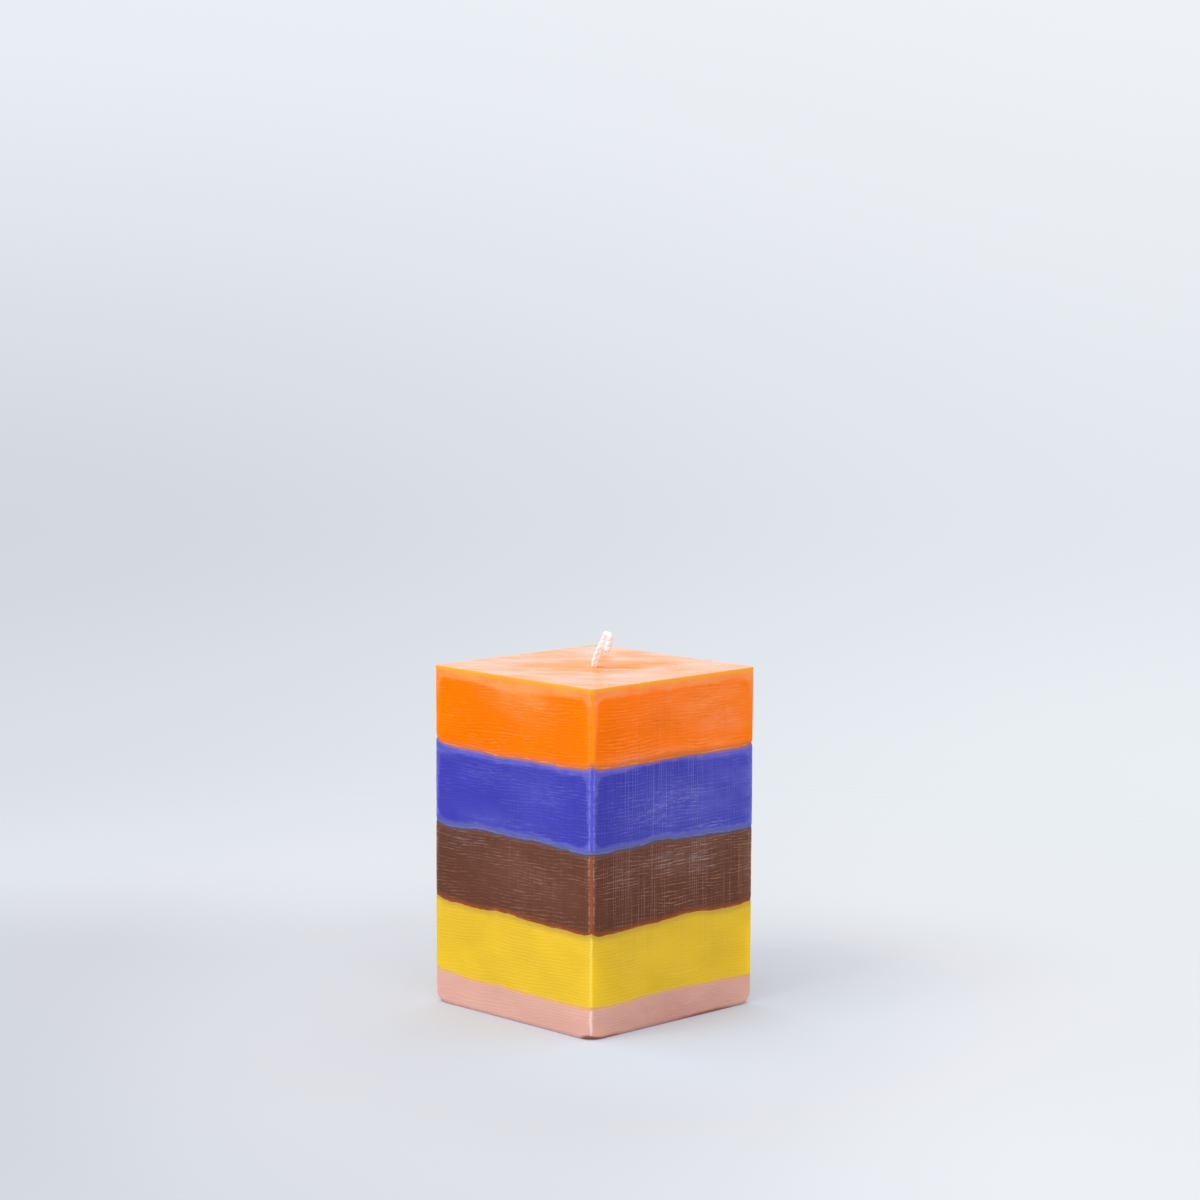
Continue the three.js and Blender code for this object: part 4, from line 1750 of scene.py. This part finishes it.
    def floor_colour(self, graph: Graph, place: Socket, distance: Value) -> Socket:
        """Light and shade painted onto the paper: darker in front, paler to the right, behind and close to
        the candle.

        Args:
            graph: The nodes to add to.
            place: Position on the floor.
            distance: How far that is from the candle's middle.

        Returns:
            The colour.
        """
        right, _, back = self.axes()
        level_right, level_back = self.level_axes()
        across = graph.along(place, tuple(right))
        front = graph.along(place, tuple(level_right * 0.8 - level_back * 0.6))
        behind = graph.along(place, tuple(-back))
        # Painted light: paler and bluer close to the candle, lifting the shade round its foot.
        near = graph.fall(distance, 50.0, 140.0, 0.8) * graph.rise(across, -60.0, 20.0, 0.3)
        shades = (
            (graph.rise(across, -185.0, -80.0), (203, 206, 212)),
            (graph.fall(front, -260.0, -110.0, 0.6), (184, 190, 198)),
            (graph.rise(across, -20.0, 125.0), (218, 221, 226)),
            (graph.rise(behind, 60.0, 220.0, 0.0, 0.7), (217, 221, 226)),
            (near, (216, 224, 238)),
        )
        colour = linear((193, 197, 203))
        for share, tint in shades:
            colour = graph.mix(share, colour, linear(tint))
        return colour

    def paper(self) -> bpy.types.Material:
        """Pale paper that fades out with distance and can't be seen from below."""
        material = bpy.data.materials.new("pale paper")
        material.use_nodes = True
        material.node_tree.nodes.clear()
        graph = Graph(material.node_tree)
        place = graph.place()
        distance = graph.number("ShaderNodeVectorMath", {0: place}, 1, operation="LENGTH")
        colour = self.floor_colour(graph, place, distance)
        paper = graph.node("ShaderNodeBsdfDiffuse", {"Color": colour}).outputs[0]
        clear = graph.node("ShaderNodeBsdfTransparent").outputs[0]
        fade = graph.rise(distance, self.floor_solid, self.floor_gone)
        gone = graph.largest(fade, graph.node("ShaderNodeNewGeometry").outputs["Backfacing"])
        mixed = graph.node("ShaderNodeMixShader", {0: gone, 1: paper, 2: clear})
        graph.node("ShaderNodeOutputMaterial", {0: mixed.outputs[0]})
        return material

    def floor(self) -> None:
        """Lay a round pale floor that fades out into the background."""
        angle = np.linspace(0, 2 * np.pi, self.floor_sides, endpoint=False)
        rings = raised(outward(angle) * np.array(self.floor_reaches)[:, None, None], 0.0)
        piece = Mesh.from_rings(rings, closed=False).piece("floor", self.paper())

    def build(self) -> None:
        """Set up the whole studio."""
        bpy.context.scene.view_settings.view_transform = "Standard"
        self.camera()
        self.world()
        self.key()
        self.floor()


def pours() -> list[Pour]:
    """The five pours from the foot up, with the marks seen on each."""
    # Where the comb's streaks show, and over them the painted sheen.
    streaks = (Patch(30, 62, 24, 40, 0.9), Patch(104, 50, 22, 30, 0.5), Patch(176, 70, 20, 25, 0.4),
               Patch(62, 40, 12, 30, 0.3), Patch(252, 60, 22, 40, 0.15))
    return [
        FootPour("pink_foot", "foot_pour_pink", "pink_wax", None, PINK_YELLOW, PINK_WALL,
                 Margins(1.0, 1.2, 1.9), clouds=(Patch(36, 3, 27, 9, 0.65),),
                 # Painted shade along the floor, deepest round the front corner.
                 stains=(Patch(0, 0.2, 3, 0.9, 0.9), Patch(7, 0.1, 5, 0.6, 0.7), Patch(50, 0.2, 10, 0.6, 0.8),
                         Patch(34, 0, 32, 1.3, 0.45), Patch(278.6, 0.6, 2.5, 0.9, 0.8)),
                 streaks=streaks),
        Pour("yellow_pour", "pour_yellow", "yellow_wax", PINK_YELLOW, YELLOW_BROWN, YELLOW_WALL,
             Margins(0.8, 0.8, 2.2), streaks=streaks),
        Pour("brown_pour", "pour_brown", "brown_wax", YELLOW_BROWN, BROWN_BLUE, BROWN_WALL,
             Margins(1.0, 1.0, 1.7),
             # The narrow cloud at walk 69, by the far corner, is partly painted light coming through the
             # corner.
             clouds=(Patch(250, 47, 22, 9, 0.45), Patch(38, 51, 22, 6, 0.5), Patch(150, 45, 30, 8, 0.4),
                     Patch(69, 45, 4, 16, 0.9)),
             scuffs=(Patch(47, 50, 8, 5, 0.7), Patch(33, 51, 9, 3, 0.6), Patch(14, 49, 8, 4, 0.3),
                     Patch(222, 53, 9, 2.5, 0.45), Patch(110, 46, 14, 6, 0.5)),
             streaks=streaks),
        Pour("blue_pour", "pour_blue", "blue_wax", BROWN_BLUE, BLUE_ORANGE, BLUE_WALL,
             Margins(1.9, 1.8, 1.9, 3.0), dips=swells((28, -1.3, 18)),
             # The narrow cloud at walk 69, by the far corner, is partly painted light coming through the
             # corner.
             clouds=(Patch(38, 67, 18, 8, 0.35), Patch(58, 72, 12, 14, 0.35), Patch(257, 72, 9, 7, 0.25),
                     Patch(235, 61, 16, 3, 0.3), Patch(69, 68, 4, 14, 0.8), Patch(216, 79.5, 4, 1.5, 0.7)),
             scuffs=(Patch(33, 70, 12, 3.5, 0.9), Patch(28, 64, 14, 4, 0.5), Patch(52, 59, 9, 1.6, 0.8),
                     Patch(262, 71, 8, 3, 0.3), Patch(236, 75, 14, 3, 0.3), Patch(250, 61, 14, 2, 0.3),
                     Patch(150, 68, 16, 5, 0.5)),
             stains=(Patch(34, 81.3, 24, 0.8, 0.45),), streaks=streaks),
        TopPour("orange_top", "top_pour_orange", "orange_wax", BLUE_ORANGE, None, ORANGE_WALL,
                Margins(3.2, 0.2, 1.9, 2.6), dips=swells((246, 1.6, 18), (110, 1.2, 20), (170, 1.6, 16)),
                clouds=(Patch(248, 100, 12, 3.5, 0.5), Patch(252, 95, 10, 5, 0.15),
                        Patch(60, 94, 18, 12, 0.45), Patch(240, 103.6, 30, 1.0, 0.3),
                        Patch(40, 99, 26, 7, 0.2), Patch(34, 84, 24, 1.6, 0.4),
                        Patch(110, 97, 20, 6, 0.6), Patch(176, 94, 22, 8, 0.5)),
                scuffs=(Patch(56, 91, 10, 3, 0.4), Patch(18, 83.4, 9, 0.9, 0.7)),
                stains=(Patch(34, 82.4, 26, 1.8, 0.55),), streaks=streaks),
    ]


def corners(box: tuple[Vector, Vector]) -> list[list[float]]:
    """Write a box's two corners as plain lists."""
    return [list(corner) for corner in box]


def main() -> None:
    """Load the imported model, dress every piece and set up the studio."""
    logging.basicConfig(level=logging.INFO, format="%(name)s: %(message)s")
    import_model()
    Studio().build()
    paint = WaxPaint()
    for pour in pours():
        pour.build(paint)
    POOL.build(paint)
    Wick().build()
    Sustainer().build()
    bpy.context.view_layer.update()


if __name__ == "__main__":
    main()
